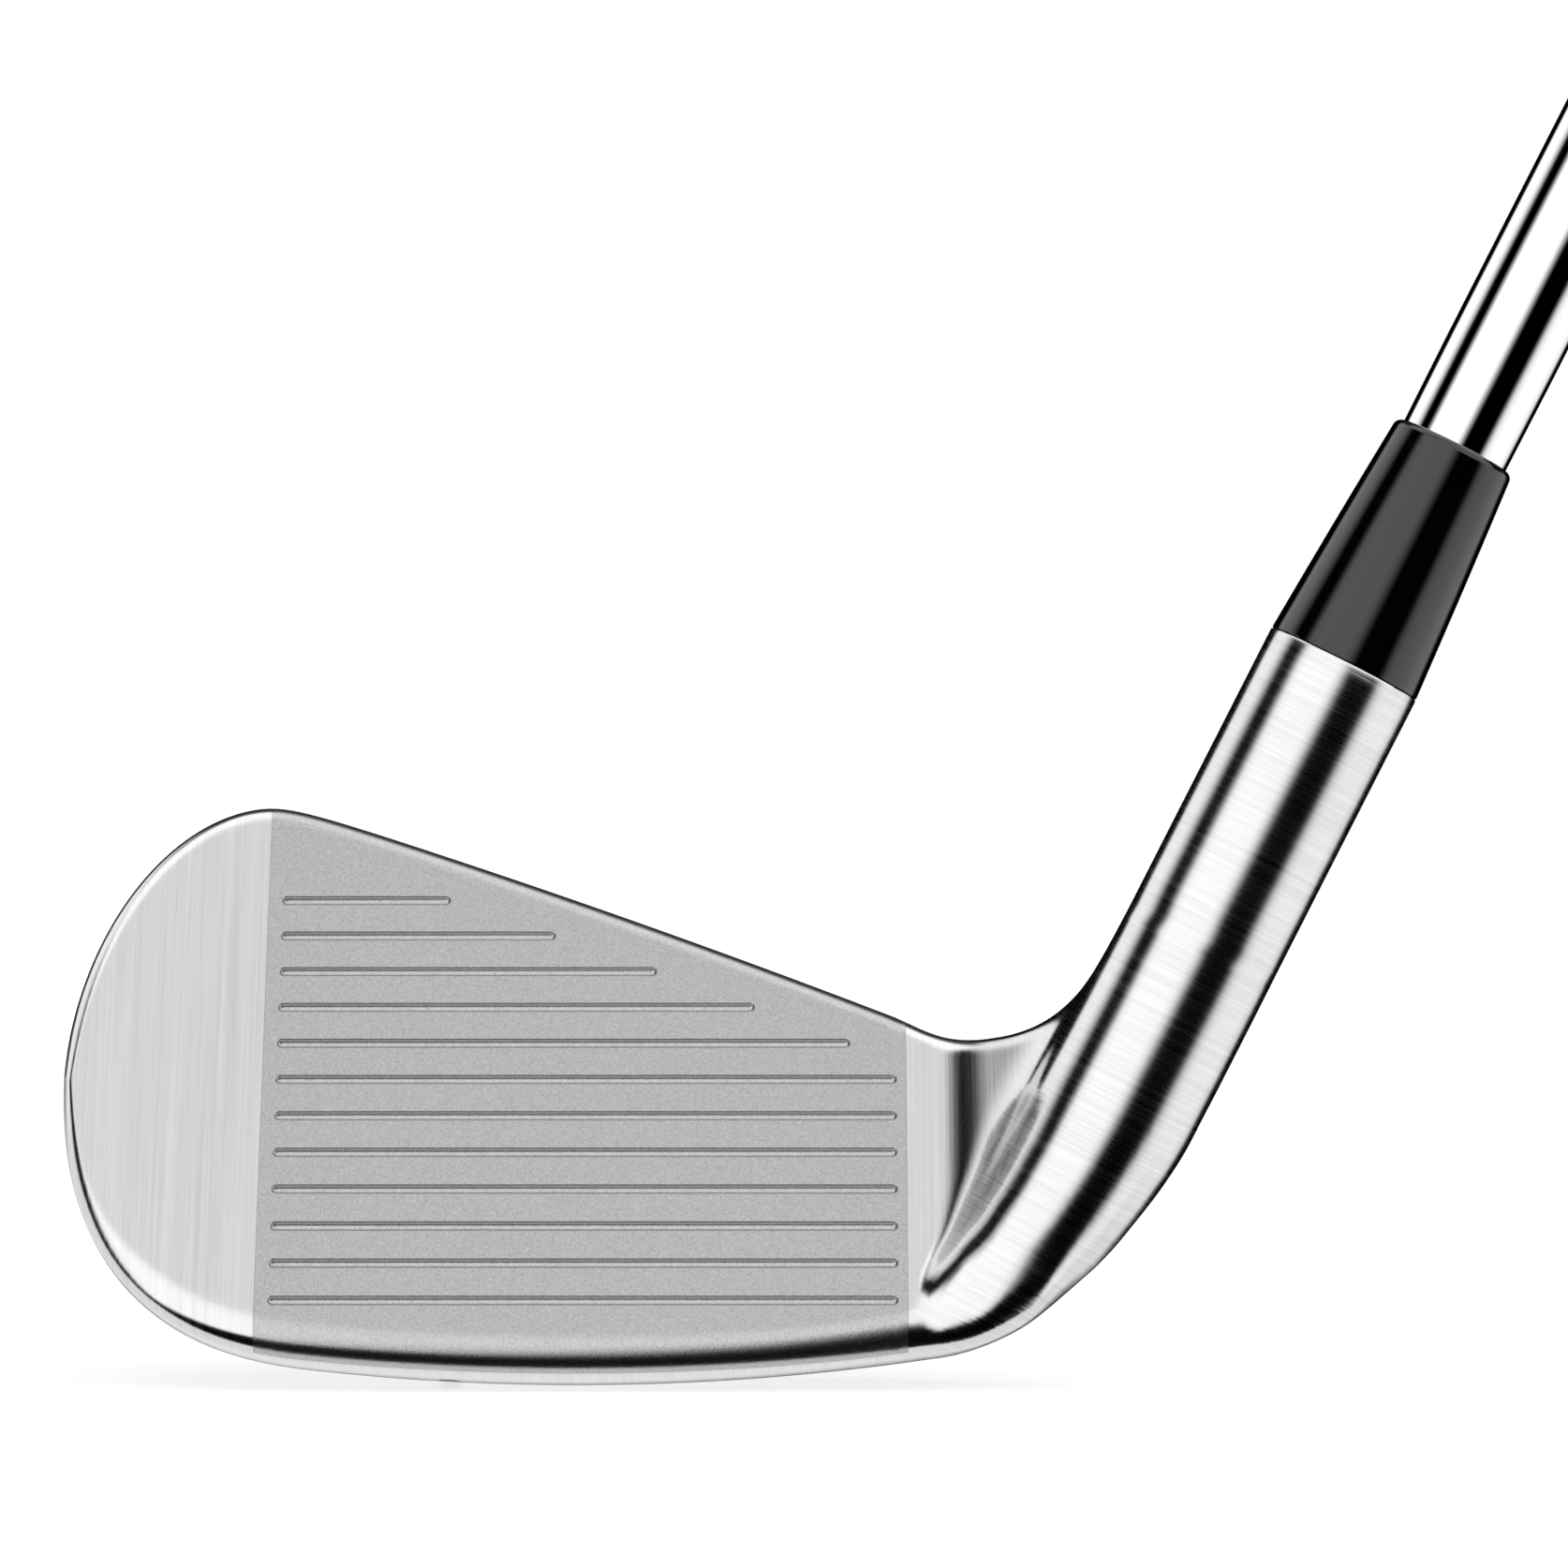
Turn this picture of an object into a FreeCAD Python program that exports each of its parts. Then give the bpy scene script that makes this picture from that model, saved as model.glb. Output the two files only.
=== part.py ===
import FreeCAD, Part
import math
import os

from FreeCAD import Placement, Rotation, Vector

os.makedirs("parts", exist_ok=True)

# A right-handed mid iron standing at address. Millimetres and degrees.
# +X runs from the toe to the grip side, -Y is the target side that the face looks at, +Z is up.
# The origin is the lowest point of the sole, where the club touches the ground.

LOFT = 32.0                  # the face leans back from vertical
LIE = 63.0                   # the shaft stands at this angle to the ground
CLUB_LENGTH = 939.8          # 37 in along the shaft, from the ground to the end of the grip
SHAFT_FOOT = Vector(33.7, -6.1, 0.0)  # where the shaft's axis meets the ground
FACE_FOOT_Y = -13.27         # where the face plane meets the ground

# Sole and blade
SOLE_ROCKER = 205.0          # heel-to-toe radius
SOLE_CAMBER = 30.0           # front-to-back radius
TRAIL_Y = 8.2                # where the sole's camber ends
TRAIL_RADIUS = 1.6
EDGE_RADIUS = 2.8            # leading edge
HEEL_START = 30.5            # the sole lifts away from its rocker beyond this
HEEL_LIFT = 0.031
CREST_T = 27.0               # the muscle's crest: height up the face and depth behind it
CREST_N = 11.6
OUTLINE_TOP = 64.0           # the blade's blank reaches past the topline, and the outline trims it
OUTLINE_TOP_N = 4.3
EDGE_GROWTH_X = 15.0         # the leading edge gets rounder beyond this
EDGE_GROWTH = 0.0035
HEEL_FROM, HEEL_TO = 12.0, 46.0       # the blade slims over these stretches
TOE_FROM, TOE_TO = 20.0, 48.0
HEEL_TRAIL_CUT, TOE_TRAIL_CUT = 4.6, 1.8
HEEL_THINNING, TOE_THINNING = 0.42, 0.18
TRAIL_MID_ANGLE, TRAIL_END_ANGLE = 0.55, 0.35
BLADE_STATIONS = (-46, -37, -27, -12, 4, 16, 24, 31, 38)
FACE_STOCK = 0.3             # the blank stands this far in front of the face, which is then cut flat

# Face and scorelines
PLATE_TOE_X = -27.2
PLATE_HEEL_X = 28.1
PLATE_THICKNESS = 2.35
LINE_COUNT = 12
LINE_PITCH = 3.588
LOWEST_LINE = 9.06
LINE_WIDTH = 0.9
LINE_DEPTH = 0.45
LINE_TOE_X = -26.0
LINE_HEEL_X = 27.25
LINE_MARGIN = 4.6            # the upper lines stop this far below the topline

# Hosel, ferrule and shaft. Distances are along the shaft's axis from the ground.
HOSEL_RADIUS = 6.85
HOSEL_FOOT = 38.0            # the round hosel starts here, and the neck below it
HOSEL_TOP = 69.0
BORE_RADIUS = 4.75
BORE_FLOOR = 36.5
FERRULE_TOP = 89.7
FERRULE_BASE_RADIUS = 6.82
FERRULE_TOP_RADIUS = 5.5
FERRULE_ROUND = 0.7
SHAFT_TIP = 39.0
TIP_RADIUS = 4.51            # 0.355 in taper tip
TAPER_END = 98.0
SLIM_RADIUS = 4.85
FIRST_STEP = 248.0
STEP_PITCH = 34.9
STEP_COUNT = 12
STEP_SLOPE = 1.6
BUTT_RADIUS = 7.62           # 0.600 in butt
BUTT_END = 934.0
SHAFT_WALL = 0.5
FLANGE_GAP = 0.05
FLANGE_THICKNESS = 1.2       # the tip weight's rim under the shaft's end
PLUG_LENGTH = 18.0
CORK_LENGTH = 10.0

# Grip
GRIP_LENGTH = 267.0
GRIP_MOUTH_RADIUS = 8.5
GRIP_END_RADIUS = 12.9
TAPE_THICKNESS = 0.15
CAP_RADIUS = 13.4
CAP_ROUND = 1.6
VENT_RADIUS = 1.75

FACE = Placement(Vector(0, FACE_FOOT_Y, 0), Rotation(Vector(1, 0, 0), 90 - LOFT))
SHAFT = Placement(SHAFT_FOOT, Rotation(Vector(0, 1, 0), 90 - LIE))
SIN_LOFT = math.sin(math.radians(LOFT))
COS_LOFT = math.cos(math.radians(LOFT))


def save(name, shape):
    if not shape.isValid():
        print("INVALID", name)
    shape.exportStep("parts/%s.step" % name)
    box = shape.BoundBox
    print("%-16s solids %d volume %9.1f  x %.1f..%.1f y %.1f..%.1f z %.1f..%.1f" % (
        name, len(shape.Solids), shape.Volume,
        box.XMin, box.XMax, box.YMin, box.YMax, box.ZMin, box.ZMax))


def on_face(x, t, n):
    """A point t up the face from the ground line and n behind it."""
    return Vector(x, FACE_FOOT_Y + t * SIN_LOFT + n * COS_LOFT, t * COS_LOFT - n * SIN_LOFT)


def polyline(points):
    return [Part.LineSegment(a, b).toShape() for a, b in zip(points, points[1:])]


def rounded_wire(points, radius):
    """A closed outline of straight runs joined by tangent arcs."""
    edges = []
    ends = []
    count = len(points)
    for i in range(count):
        corner = points[i]
        before = (points[i - 1] - corner).normalize()
        after = (points[(i + 1) % count] - corner).normalize()
        half = before.getAngle(after) / 2
        setback = radius / math.tan(half)
        centre = corner + (before + after).normalize() * (radius / math.sin(half))
        start = corner + before * setback
        end = corner + after * setback
        middle = centre + (corner - centre).normalize() * radius
        edges.append(Part.Arc(start, middle, end).toShape())
        ends.append((start, end))
    for i in range(count):
        edges.append(Part.LineSegment(ends[i - 1][1], ends[i][0]).toShape())
    return Part.Wire(Part.__sortEdges__(edges))


def prism_on_face(wire, shallow, deep):
    """A wire drawn flat on the face, as a solid from one depth behind the face to another."""
    solid = Part.Face(wire).extrude(Vector(0, 0, shallow - deep))
    solid.translate(Vector(0, 0, -shallow))
    solid.Placement = FACE.multiply(solid.Placement)
    return solid


def turned(profile):
    """Spin (radius, distance) points about the shaft's axis."""
    points = [Vector(r, 0, s) for r, s in profile + profile[:1]]
    face = Part.Face(Part.Wire(polyline(points)))
    solid = face.revolve(Vector(0, 0, 0), Vector(0, 0, 1), 360)
    solid.Placement = SHAFT.multiply(solid.Placement)
    return solid


def bar_along_x(profile, x_low, x_high):
    """Extrude (t, n) points behind the face along X."""
    points = [on_face(x_low, t, n) for t, n in profile + profile[:1]]
    return Part.Face(Part.Wire(polyline(points))).extrude(Vector(x_high - x_low, 0, 0))


# ---------------------------------------------------------------- blade

def ease(x, low, high):
    u = min(max((x - low) / (high - low), 0.0), 1.0)
    return u * u * (3 - 2 * u)


def sole_height(x):
    heel = max(x - HEEL_START, 0.0)
    return x * x / (2 * SOLE_ROCKER) + HEEL_LIFT * heel * heel


def leading_edge(x):
    """Centre and radius of the leading edge's round, touching the face and the sole."""
    radius = EDGE_RADIUS + EDGE_GROWTH * max(x - EDGE_GROWTH_X, 0.0) ** 2
    camber_z = sole_height(x) + SOLE_CAMBER
    offset = FACE_FOOT_Y + radius / COS_LOFT
    slope = SIN_LOFT / COS_LOFT
    a = 1 + slope * slope
    b = 2 * (offset * slope - camber_z)
    c = offset * offset + camber_z * camber_z - (SOLE_CAMBER - radius) ** 2
    z = (-b - math.sqrt(b * b - 4 * a * c)) / (2 * a)
    return Vector(x, offset + slope * z, z), radius, camber_z


def blade_section(x):
    """The blade's profile at one station, from the topline down the face and round the sole."""
    centre, radius, camber_z = leading_edge(x)
    heel = ease(x, HEEL_FROM, HEEL_TO)
    toe = ease(-x, TOE_FROM, TOE_TO)
    trail_y = TRAIL_Y - HEEL_TRAIL_CUT * heel - TOE_TRAIL_CUT * toe
    thin = 1 - HEEL_THINNING * heel - TOE_THINNING * toe

    outward = Vector(0, -COS_LOFT, SIN_LOFT)
    on_plane = centre + outward * radius
    camber = Vector(x, 0, camber_z)
    down = (centre - camber).normalize()
    on_sole = centre + down * radius
    middle = centre + (outward + down).normalize() * radius

    tilt = math.asin(trail_y / SOLE_CAMBER)
    sole_end = camber + Vector(0, math.sin(tilt), -math.cos(tilt)) * SOLE_CAMBER
    lowest = camber + Vector(0, 0, -SOLE_CAMBER)
    corner = sole_end + Vector(0, -math.sin(tilt), math.cos(tilt)) * TRAIL_RADIUS
    end_way = Vector(0, math.cos(TRAIL_END_ANGLE), math.sin(TRAIL_END_ANGLE))
    mid_way = Vector(0, math.cos(TRAIL_MID_ANGLE), -math.sin(TRAIL_MID_ANGLE))
    corner_end = corner + end_way * TRAIL_RADIUS
    corner_mid = corner + mid_way * TRAIL_RADIUS

    crest = on_face(x, CREST_T, CREST_N * thin)
    top_back = on_face(x, OUTLINE_TOP, OUTLINE_TOP_N)
    proud = outward * FACE_STOCK
    edges = polyline([on_face(x, OUTLINE_TOP, -FACE_STOCK), on_plane + proud, on_plane])
    edges.append(Part.Arc(on_plane, middle, on_sole).toShape())
    edges.append(Part.Arc(on_sole, lowest, sole_end).toShape())
    edges.append(Part.Arc(sole_end, corner_mid, corner_end).toShape())
    edges += polyline([corner_end, crest, top_back, on_face(x, OUTLINE_TOP, -FACE_STOCK)])
    return Part.Wire(edges)


TRIM_REACH = 60.0            # the trimming solids reach this far past the blade
CROTCH_END_X = 44.0
TOPLINE = [(-44.4, 31.0), (-43.6, 39.0), (-41.1, 46.5), (-37.3, 53.0), (-33.0, 56.9),
           (-27.3, 58.3), (-22.0, 57.0), (-5.0, 50.6), (10.0, 44.5), (26.7, 37.3), (32.0, 35.6)]
FRONT_OUTLINE = [(-26.0, 1.6), (-33.3, 4.6), (-38.7, 9.0), (-42.6, 15.2), (-44.2, 22.0), (-44.4, 28.0)]


def spline(points):
    curve = Part.BSplineCurve()
    curve.interpolate(points)
    return curve.toShape()


def topline_trim():
    """Everything behind the face that lies inside the toe, topline and crotch."""
    low = -TRIM_REACH
    curve = spline([Vector(x, t, 0) for x, t in TOPLINE])
    first = Vector(TOPLINE[0][0], TOPLINE[0][1], 0)
    last = Vector(TOPLINE[-1][0], TOPLINE[-1][1], 0)
    rest = [last, Vector(CROTCH_END_X, last.y, 0), Vector(CROTCH_END_X, low, 0),
            Vector(first.x, low, 0), first]
    wire = Part.Wire([curve] + polyline(rest))
    return prism_on_face(wire, 0.0, TRIM_REACH)


def front_trim():
    """Everything inside the toe's lower curve as seen from the target."""
    low = -10.0
    high = 80.0
    y_front = -TRIM_REACH
    curve = spline([Vector(x, y_front, z) for x, z in FRONT_OUTLINE])
    first = Vector(FRONT_OUTLINE[0][0], y_front, FRONT_OUTLINE[0][1])
    last = Vector(FRONT_OUTLINE[-1][0], y_front, FRONT_OUTLINE[-1][1])
    rest = [last, Vector(last.x, y_front, high), Vector(TRIM_REACH, y_front, high),
            Vector(TRIM_REACH, y_front, low), Vector(first.x, y_front, low), first]
    return Part.Face(Part.Wire([curve] + polyline(rest))).extrude(Vector(0, 2 * TRIM_REACH, 0))


def oval(centre, heading, lean, half_length, half_width):
    """A closed oval across the neck. Its length lies upright, leant back with the face."""
    h = math.radians(heading)
    lean = math.radians(lean)
    along = Vector(math.cos(h), 0, math.sin(h))
    major = Vector(-math.sin(h), 0, math.cos(h)) * math.cos(lean) + Vector(0, 1, 0) * math.sin(lean)
    minor = along.cross(major)
    edges = []
    for quarter in range(4):
        points = []
        for i in range(QUARTER_POINTS + 1):
            a = math.pi / 2 * (quarter + i / QUARTER_POINTS)
            point = centre + major * (half_length * math.cos(a))
            points.append(point + minor * (half_width * math.sin(a)))
        side = [minor, major * -1, minor * -1, major]
        pull = [half_width, half_length]
        leaving = side[quarter] * pull[quarter % 2]
        arriving = side[(quarter + 1) % 4] * pull[(quarter + 1) % 2]
        curve = Part.BSplineCurve()
        curve.interpolate(points, InitialTangent=leaving, FinalTangent=arriving)
        edges.append(curve.toShape())
    return Part.Wire(edges)


def axis_point(s):
    h = math.radians(LIE)
    return SHAFT_FOOT + Vector(math.cos(h), 0, math.sin(h)) * s


# Ovals that carry the blade round the heel into the hosel:
# centre, heading of the neck, lean, half length and half width
QUARTER_POINTS = 6
HOSEL_RINGS = 4
LOFT_DEGREE = 3
NECK = [(Vector(27.0, 1.0, 13.8), 0, 32, 15.0, 4.5), (Vector(37.4, -2.4, 18.3), 12, 20, 11.8, 5.5),
        (Vector(43.2, -4.6, 22.4), 28, 9, 9.4, 6.3), (Vector(47.0, -5.8, 27.2), 43, 3, 7.8, 6.75)]


def head_solid():
    blade = Part.makeLoft([blade_section(float(x)) for x in BLADE_STATIONS], True)
    blade = blade.common(topline_trim()).common(front_trim()).Solids[0]
    ovals = [oval(*ring) for ring in NECK]
    for i in range(HOSEL_RINGS + 1):
        s = HOSEL_FOOT + (HOSEL_TOP - HOSEL_FOOT) * i / HOSEL_RINGS
        ovals.append(oval(axis_point(s), LIE, 0, HOSEL_RADIUS, HOSEL_RADIUS))
    neck = Part.makeLoft(ovals, True, False, False, LOFT_DEGREE)
    return blade.fuse(neck).Solids[0]


# Cavity behind the upper face, drawn on the face as (x, t)
CAVITY = [(-36.5, 30.5), (-35.0, 43.5), (-29.5, 52.0), (-24.0, 52.6), (21.0, 34.4), (22.5, 30.5)]
WINDOW = [(-24.5, 33.0), (-24.5, 49.0), (10.0, 35.5), (10.0, 33.0)]  # opens the cavity to the face plate
WINDOW_ROUND = 0.8
CAVITY_DEPTH = 3.2
CAVITY_ROUND = 1.6
TAPE_SHEET = 0.3
BADGE_THICKNESS = 0.9
CHAMBER = [(9.0, 3.2), (26.0, 3.2), (26.0, 8.6), (17.5, 12.2), (12.5, 8.6)]
CHAMBER_TOE_X = -31.0
CHAMBER_HEEL_X = 23.0
WEIGHT_HEEL_X = -19.0
MARK_X = -10.8               # a plain filled slot across the sole
MARK_FRONT_Y = -4.7
MARK_BACK_Y = 3.0
MARK_WIDTH = 1.8
MARK_DEPTH = 0.45


def inset(points, gap):
    """Shrink an outline of (x, t) points towards its inside."""
    flat = [Vector(x, t, 0) for x, t in points]
    wire = Part.Wire(polyline(flat + flat[:1]))
    inner = wire.makeOffset2D(-gap, 2) if gap else wire
    return [Vector(v.X, v.Y, 0) for v in inner.OrderedVertexes]


def cavity_wire(gap):
    return rounded_wire(inset(CAVITY, gap), CAVITY_ROUND)


def topline_at(x):
    """The topline's height on the face, read off its two nearest points."""
    for (x0, t0), (x1, t1) in zip(TOPLINE, TOPLINE[1:]):
        if x0 <= x <= x1:
            return t0 + (t1 - t0) * (x - x0) / (x1 - x0)
    return TOPLINE[-1][1]


def scoreline(t):
    heel_x = LINE_HEEL_X
    while topline_at(heel_x) - t < LINE_MARGIN:
        heel_x -= 0.05
    half = LINE_WIDTH / 2
    low = Vector(LINE_TOE_X + half, t - half, 0)
    high = Vector(heel_x - half, t + half, 0)
    edges = [Part.LineSegment(low, Vector(high.x, low.y, 0)).toShape(),
             Part.Arc(Vector(high.x, low.y, 0), Vector(heel_x, t, 0), high).toShape(),
             Part.LineSegment(high, Vector(low.x, high.y, 0)).toShape(),
             Part.Arc(Vector(low.x, high.y, 0), Vector(LINE_TOE_X, t, 0), low).toShape()]
    return prism_on_face(Part.Wire(edges), -1.0, LINE_DEPTH)


def sole_mark():
    """The slot for the sole's mark, cut up into the sole from below."""
    half = MARK_WIDTH / 2
    low = -2.0
    camber = SOLE_CAMBER - math.sqrt(SOLE_CAMBER ** 2 - MARK_BACK_Y ** 2)
    left = MARK_X - half
    right = MARK_X + half
    edges = [Part.LineSegment(Vector(left, MARK_BACK_Y, low), Vector(left, MARK_FRONT_Y, low)).toShape(),
             Part.Arc(Vector(left, MARK_FRONT_Y, low), Vector(MARK_X, MARK_FRONT_Y - half, low),
                      Vector(right, MARK_FRONT_Y, low)).toShape(),
             Part.LineSegment(Vector(right, MARK_FRONT_Y, low), Vector(right, MARK_BACK_Y, low)).toShape(),
             Part.Arc(Vector(right, MARK_BACK_Y, low), Vector(MARK_X, MARK_BACK_Y + half, low),
                      Vector(left, MARK_BACK_Y, low)).toShape()]
    top = camber + sole_height(MARK_X) + MARK_DEPTH
    return Part.Face(Part.Wire(edges)).extrude(Vector(0, 0, top - low))


def shaft_radius(s):
    """Outer radius of the shaft at a distance from the ground."""
    if s < TAPER_END:
        return TIP_RADIUS + (SLIM_RADIUS - TIP_RADIUS) * (s - SHAFT_TIP) / (TAPER_END - SHAFT_TIP)
    steps = min(max(math.floor((s - FIRST_STEP) / STEP_PITCH) + 1, 0), STEP_COUNT)
    return SLIM_RADIUS + (BUTT_RADIUS - SLIM_RADIUS) * steps / STEP_COUNT


def head():
    solid = head_solid()
    plate_box = rounded_wire([Vector(PLATE_TOE_X, -12, 0), Vector(PLATE_HEEL_X, -12, 0),
                              Vector(PLATE_HEEL_X, 70, 0), Vector(PLATE_TOE_X, 70, 0)], 0.2)
    plate_space = prism_on_face(plate_box, -1.0, PLATE_THICKNESS)
    plate = solid.common(plate_space)
    body = solid.cut(plate_space)
    body = body.cut(prism_on_face(cavity_wire(0.0), CAVITY_DEPTH, 20.0))
    window = rounded_wire([Vector(x, t, 0) for x, t in WINDOW], WINDOW_ROUND)
    body = body.cut(prism_on_face(window, PLATE_THICKNESS, CAVITY_DEPTH))
    body = body.cut(bar_along_x(CHAMBER, CHAMBER_TOE_X, CHAMBER_HEEL_X))
    body = body.cut(turned([(0, BORE_FLOOR), (BORE_RADIUS, BORE_FLOOR), (BORE_RADIUS, FERRULE_TOP),
                            (0, FERRULE_TOP)]))
    mark_space = sole_mark()
    mark = body.common(mark_space)
    body = body.cut(mark_space)
    for i in range(LINE_COUNT):
        plate = plate.cut(scoreline(LOWEST_LINE + i * LINE_PITCH))
    save("head_body", body)
    save("face_plate", plate)
    save("sole_mark_fill", mark)
    save("toe_weight", bar_along_x(CHAMBER, CHAMBER_TOE_X, WEIGHT_HEEL_X))
    save("damper_core", bar_along_x(CHAMBER, WEIGHT_HEEL_X, CHAMBER_HEEL_X))
    save("badge_tape", prism_on_face(cavity_wire(0.6), CAVITY_DEPTH, CAVITY_DEPTH + TAPE_SHEET))
    badge_floor = CAVITY_DEPTH + TAPE_SHEET
    save("badge", prism_on_face(cavity_wire(0.3), badge_floor, badge_floor + BADGE_THICKNESS))


def ferrule():
    top = FERRULE_TOP
    outer = FERRULE_TOP_RADIUS
    profile = [(shaft_radius(HOSEL_TOP), HOSEL_TOP), (FERRULE_BASE_RADIUS, HOSEL_TOP)]
    for i in range(7):
        a = math.radians(90 * i / 6)
        profile.append((outer - FERRULE_ROUND * (1 - math.cos(a)), top - FERRULE_ROUND * (1 - math.sin(a))))
    profile.append((shaft_radius(top), top))
    save("ferrule", turned(profile))


def shaft():
    outer = [(TIP_RADIUS, SHAFT_TIP), (SLIM_RADIUS, TAPER_END)]
    for i in range(STEP_COUNT):
        s = FIRST_STEP + i * STEP_PITCH
        outer.append((shaft_radius(s - 1), s - STEP_SLOPE / 2))
        outer.append((shaft_radius(s + 1), s + STEP_SLOPE / 2))
    outer.append((BUTT_RADIUS, BUTT_END))
    inner = [(r - SHAFT_WALL, s) for r, s in reversed(outer)]
    save("shaft", turned(outer + inner))

    bore = TIP_RADIUS - SHAFT_WALL
    flange = TIP_RADIUS - FLANGE_GAP
    base = SHAFT_TIP - FLANGE_THICKNESS
    plug_top = SHAFT_TIP + PLUG_LENGTH
    cork_top = plug_top + CORK_LENGTH
    save("tip_weight", turned([(0, base), (flange, base), (flange, SHAFT_TIP), (bore, SHAFT_TIP),
                               (bore, plug_top), (0, plug_top)]))
    save("tip_cork", turned([(0, plug_top), (bore, plug_top), (bore, cork_top), (0, cork_top)]))
    save("hosel_epoxy", turned([(shaft_radius(SHAFT_TIP), SHAFT_TIP), (BORE_RADIUS, SHAFT_TIP),
                                (BORE_RADIUS, HOSEL_TOP), (shaft_radius(HOSEL_TOP), HOSEL_TOP)]))

    band_start = FIRST_STEP + (STEP_COUNT - 2) * STEP_PITCH + 6
    band_end = band_start + 22
    band_radius = shaft_radius(band_start)
    save("shaft_band", turned([(band_radius, band_start), (band_radius + 0.12, band_start),
                               (band_radius + 0.12, band_end), (band_radius, band_end)]))


def grip():
    mouth = BUTT_END - GRIP_LENGTH
    tape = BUTT_RADIUS + TAPE_THICKNESS
    save("grip_tape", turned([(BUTT_RADIUS, mouth + 6), (tape, mouth + 6), (tape, BUTT_END),
                              (BUTT_RADIUS, BUTT_END)]))
    profile = [(BUTT_RADIUS, mouth), (GRIP_MOUTH_RADIUS - 0.5, mouth), (GRIP_MOUTH_RADIUS, mouth + 0.8)]
    for i in range(1, 9):
        u = i / 8
        radius = GRIP_MOUTH_RADIUS + (GRIP_END_RADIUS - GRIP_MOUTH_RADIUS) * (0.75 * u + 0.25 * u ** 3)
        profile.append((radius, mouth + GRIP_LENGTH * u))
    profile += [(tape, BUTT_END), (tape, mouth + 6), (BUTT_RADIUS, mouth + 6)]
    save("grip", turned(profile))

    end = CLUB_LENGTH
    cap = [(VENT_RADIUS, BUTT_END), (GRIP_END_RADIUS, BUTT_END), (CAP_RADIUS, BUTT_END + 1.2)]
    for i in range(7):
        a = math.radians(90 * i / 6)
        cap.append((CAP_RADIUS - CAP_ROUND * (1 - math.cos(a)), end - CAP_ROUND * (1 - math.sin(a))))
    cap.append((VENT_RADIUS, end))
    save("grip_cap", turned(cap))


head()
ferrule()
shaft()
grip()
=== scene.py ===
"""A right-handed iron golf club at address: the looks of each of its pieces."""

import math

import bmesh
import bpy
import numpy as np
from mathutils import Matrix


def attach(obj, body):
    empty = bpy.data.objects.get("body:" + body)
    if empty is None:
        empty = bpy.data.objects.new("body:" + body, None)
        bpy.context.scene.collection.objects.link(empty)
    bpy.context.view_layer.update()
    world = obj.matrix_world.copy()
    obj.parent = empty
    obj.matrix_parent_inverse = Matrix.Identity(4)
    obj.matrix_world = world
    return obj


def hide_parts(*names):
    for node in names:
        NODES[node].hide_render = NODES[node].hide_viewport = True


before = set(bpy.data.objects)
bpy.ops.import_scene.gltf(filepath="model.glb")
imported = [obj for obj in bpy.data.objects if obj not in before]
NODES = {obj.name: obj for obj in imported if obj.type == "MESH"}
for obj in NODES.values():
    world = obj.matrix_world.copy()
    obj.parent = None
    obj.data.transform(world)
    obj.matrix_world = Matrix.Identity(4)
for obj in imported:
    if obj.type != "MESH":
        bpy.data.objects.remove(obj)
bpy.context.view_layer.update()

# Sizes are in millimetres and degrees, and MM turns them into metres.
# +X runs from the toe to the grip, -Y is the way the face looks, +Z is up.
MM = 0.001
LOFT = math.radians(32.0)
LIE = math.radians(63.0)
SIN_LOFT, COS_LOFT = math.sin(LOFT), math.cos(LOFT)
SHAFT_FOOT = np.array([33.7, -6.1, 0.0])
SHAFT_WAY = np.array([math.cos(LIE), 0.0, math.sin(LIE)])
FACE_FOOT_Y = -13.27

# Blade
SOLE_ROCKER = 205.0
SOLE_CAMBER = 30.0
HEEL_START, HEEL_LIFT = 30.5, 0.031
TRAIL_Y = 8.2
CREST = (27.0, 11.6)
BACK_TOP = (64.0, 4.3)
EDGE_RADIUS = 2.8
RIM_RADIUS = 2.0
TOE_X = -44.4
TOE_CENTRE = (-27.3, 31.0)
TOE_REACH = (17.1, 27.84)
TOE_FULLNESS = 1.9
LOW_TOE_FROM, LOW_TOE_REACH, LOW_TOE_LIFT, LOW_TOE_FULLNESS = -21.5, 22.9, 22.7, 2.75
TOPLINE_SLOPE, TOPLINE_START, TOPLINE_SAG = 0.36, 2.2, 0.0008
CROTCH_T, CROTCH_X, CROTCH_CURVE = 35.6, 34.0, 0.055
SHY_OF_ONE = 0.9999

# Hosel, ferrule, shaft and grip: distances along the shaft's axis from the ground
HOSEL_RADIUS, HOSEL_TOP = 6.85, 69.0
BORE_RADIUS, BORE_FLOOR = 4.75, 36.5
ROUND_FROM = 43.0
FERRULE_TOP = 89.7
TIP_RADIUS, SLIM_RADIUS, BUTT_RADIUS = 4.51, 4.85, 7.62
SHAFT_TIP, TAPER_END, BUTT_END = 39.0, 98.0, 934.0
FIRST_STEP, STEP_PITCH, STEP_COUNT = 248.0, 34.9, 12
GRIP_MOUTH, CLUB_LENGTH = 667.0, 939.8

RING = 240                   # points round one ring of the head's skin
DENSE = 1200                 # rays that find where a ring turns


def ease(value, low, high):
    """0 below low, 1 above high, and a smooth rise between."""
    u = np.clip((value - low) / (high - low), 0.0, 1.0)
    return u * u * (3 - 2 * u)


def on_face(x, t, n):
    """A point t up the face and n behind it."""
    return np.array([x, FACE_FOOT_Y + t * SIN_LOFT + n * COS_LOFT, t * COS_LOFT - n * SIN_LOFT])


def on_axis(s):
    """A point on the shaft's axis."""
    return SHAFT_FOOT + SHAFT_WAY * s


def rounded_max(a, b, radius):
    """Two outsides joined with a round of about that radius."""
    corner = np.hypot(np.maximum(a + radius, 0), np.maximum(b + radius, 0))
    return np.minimum(np.maximum(a, b), -radius) + corner


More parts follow.
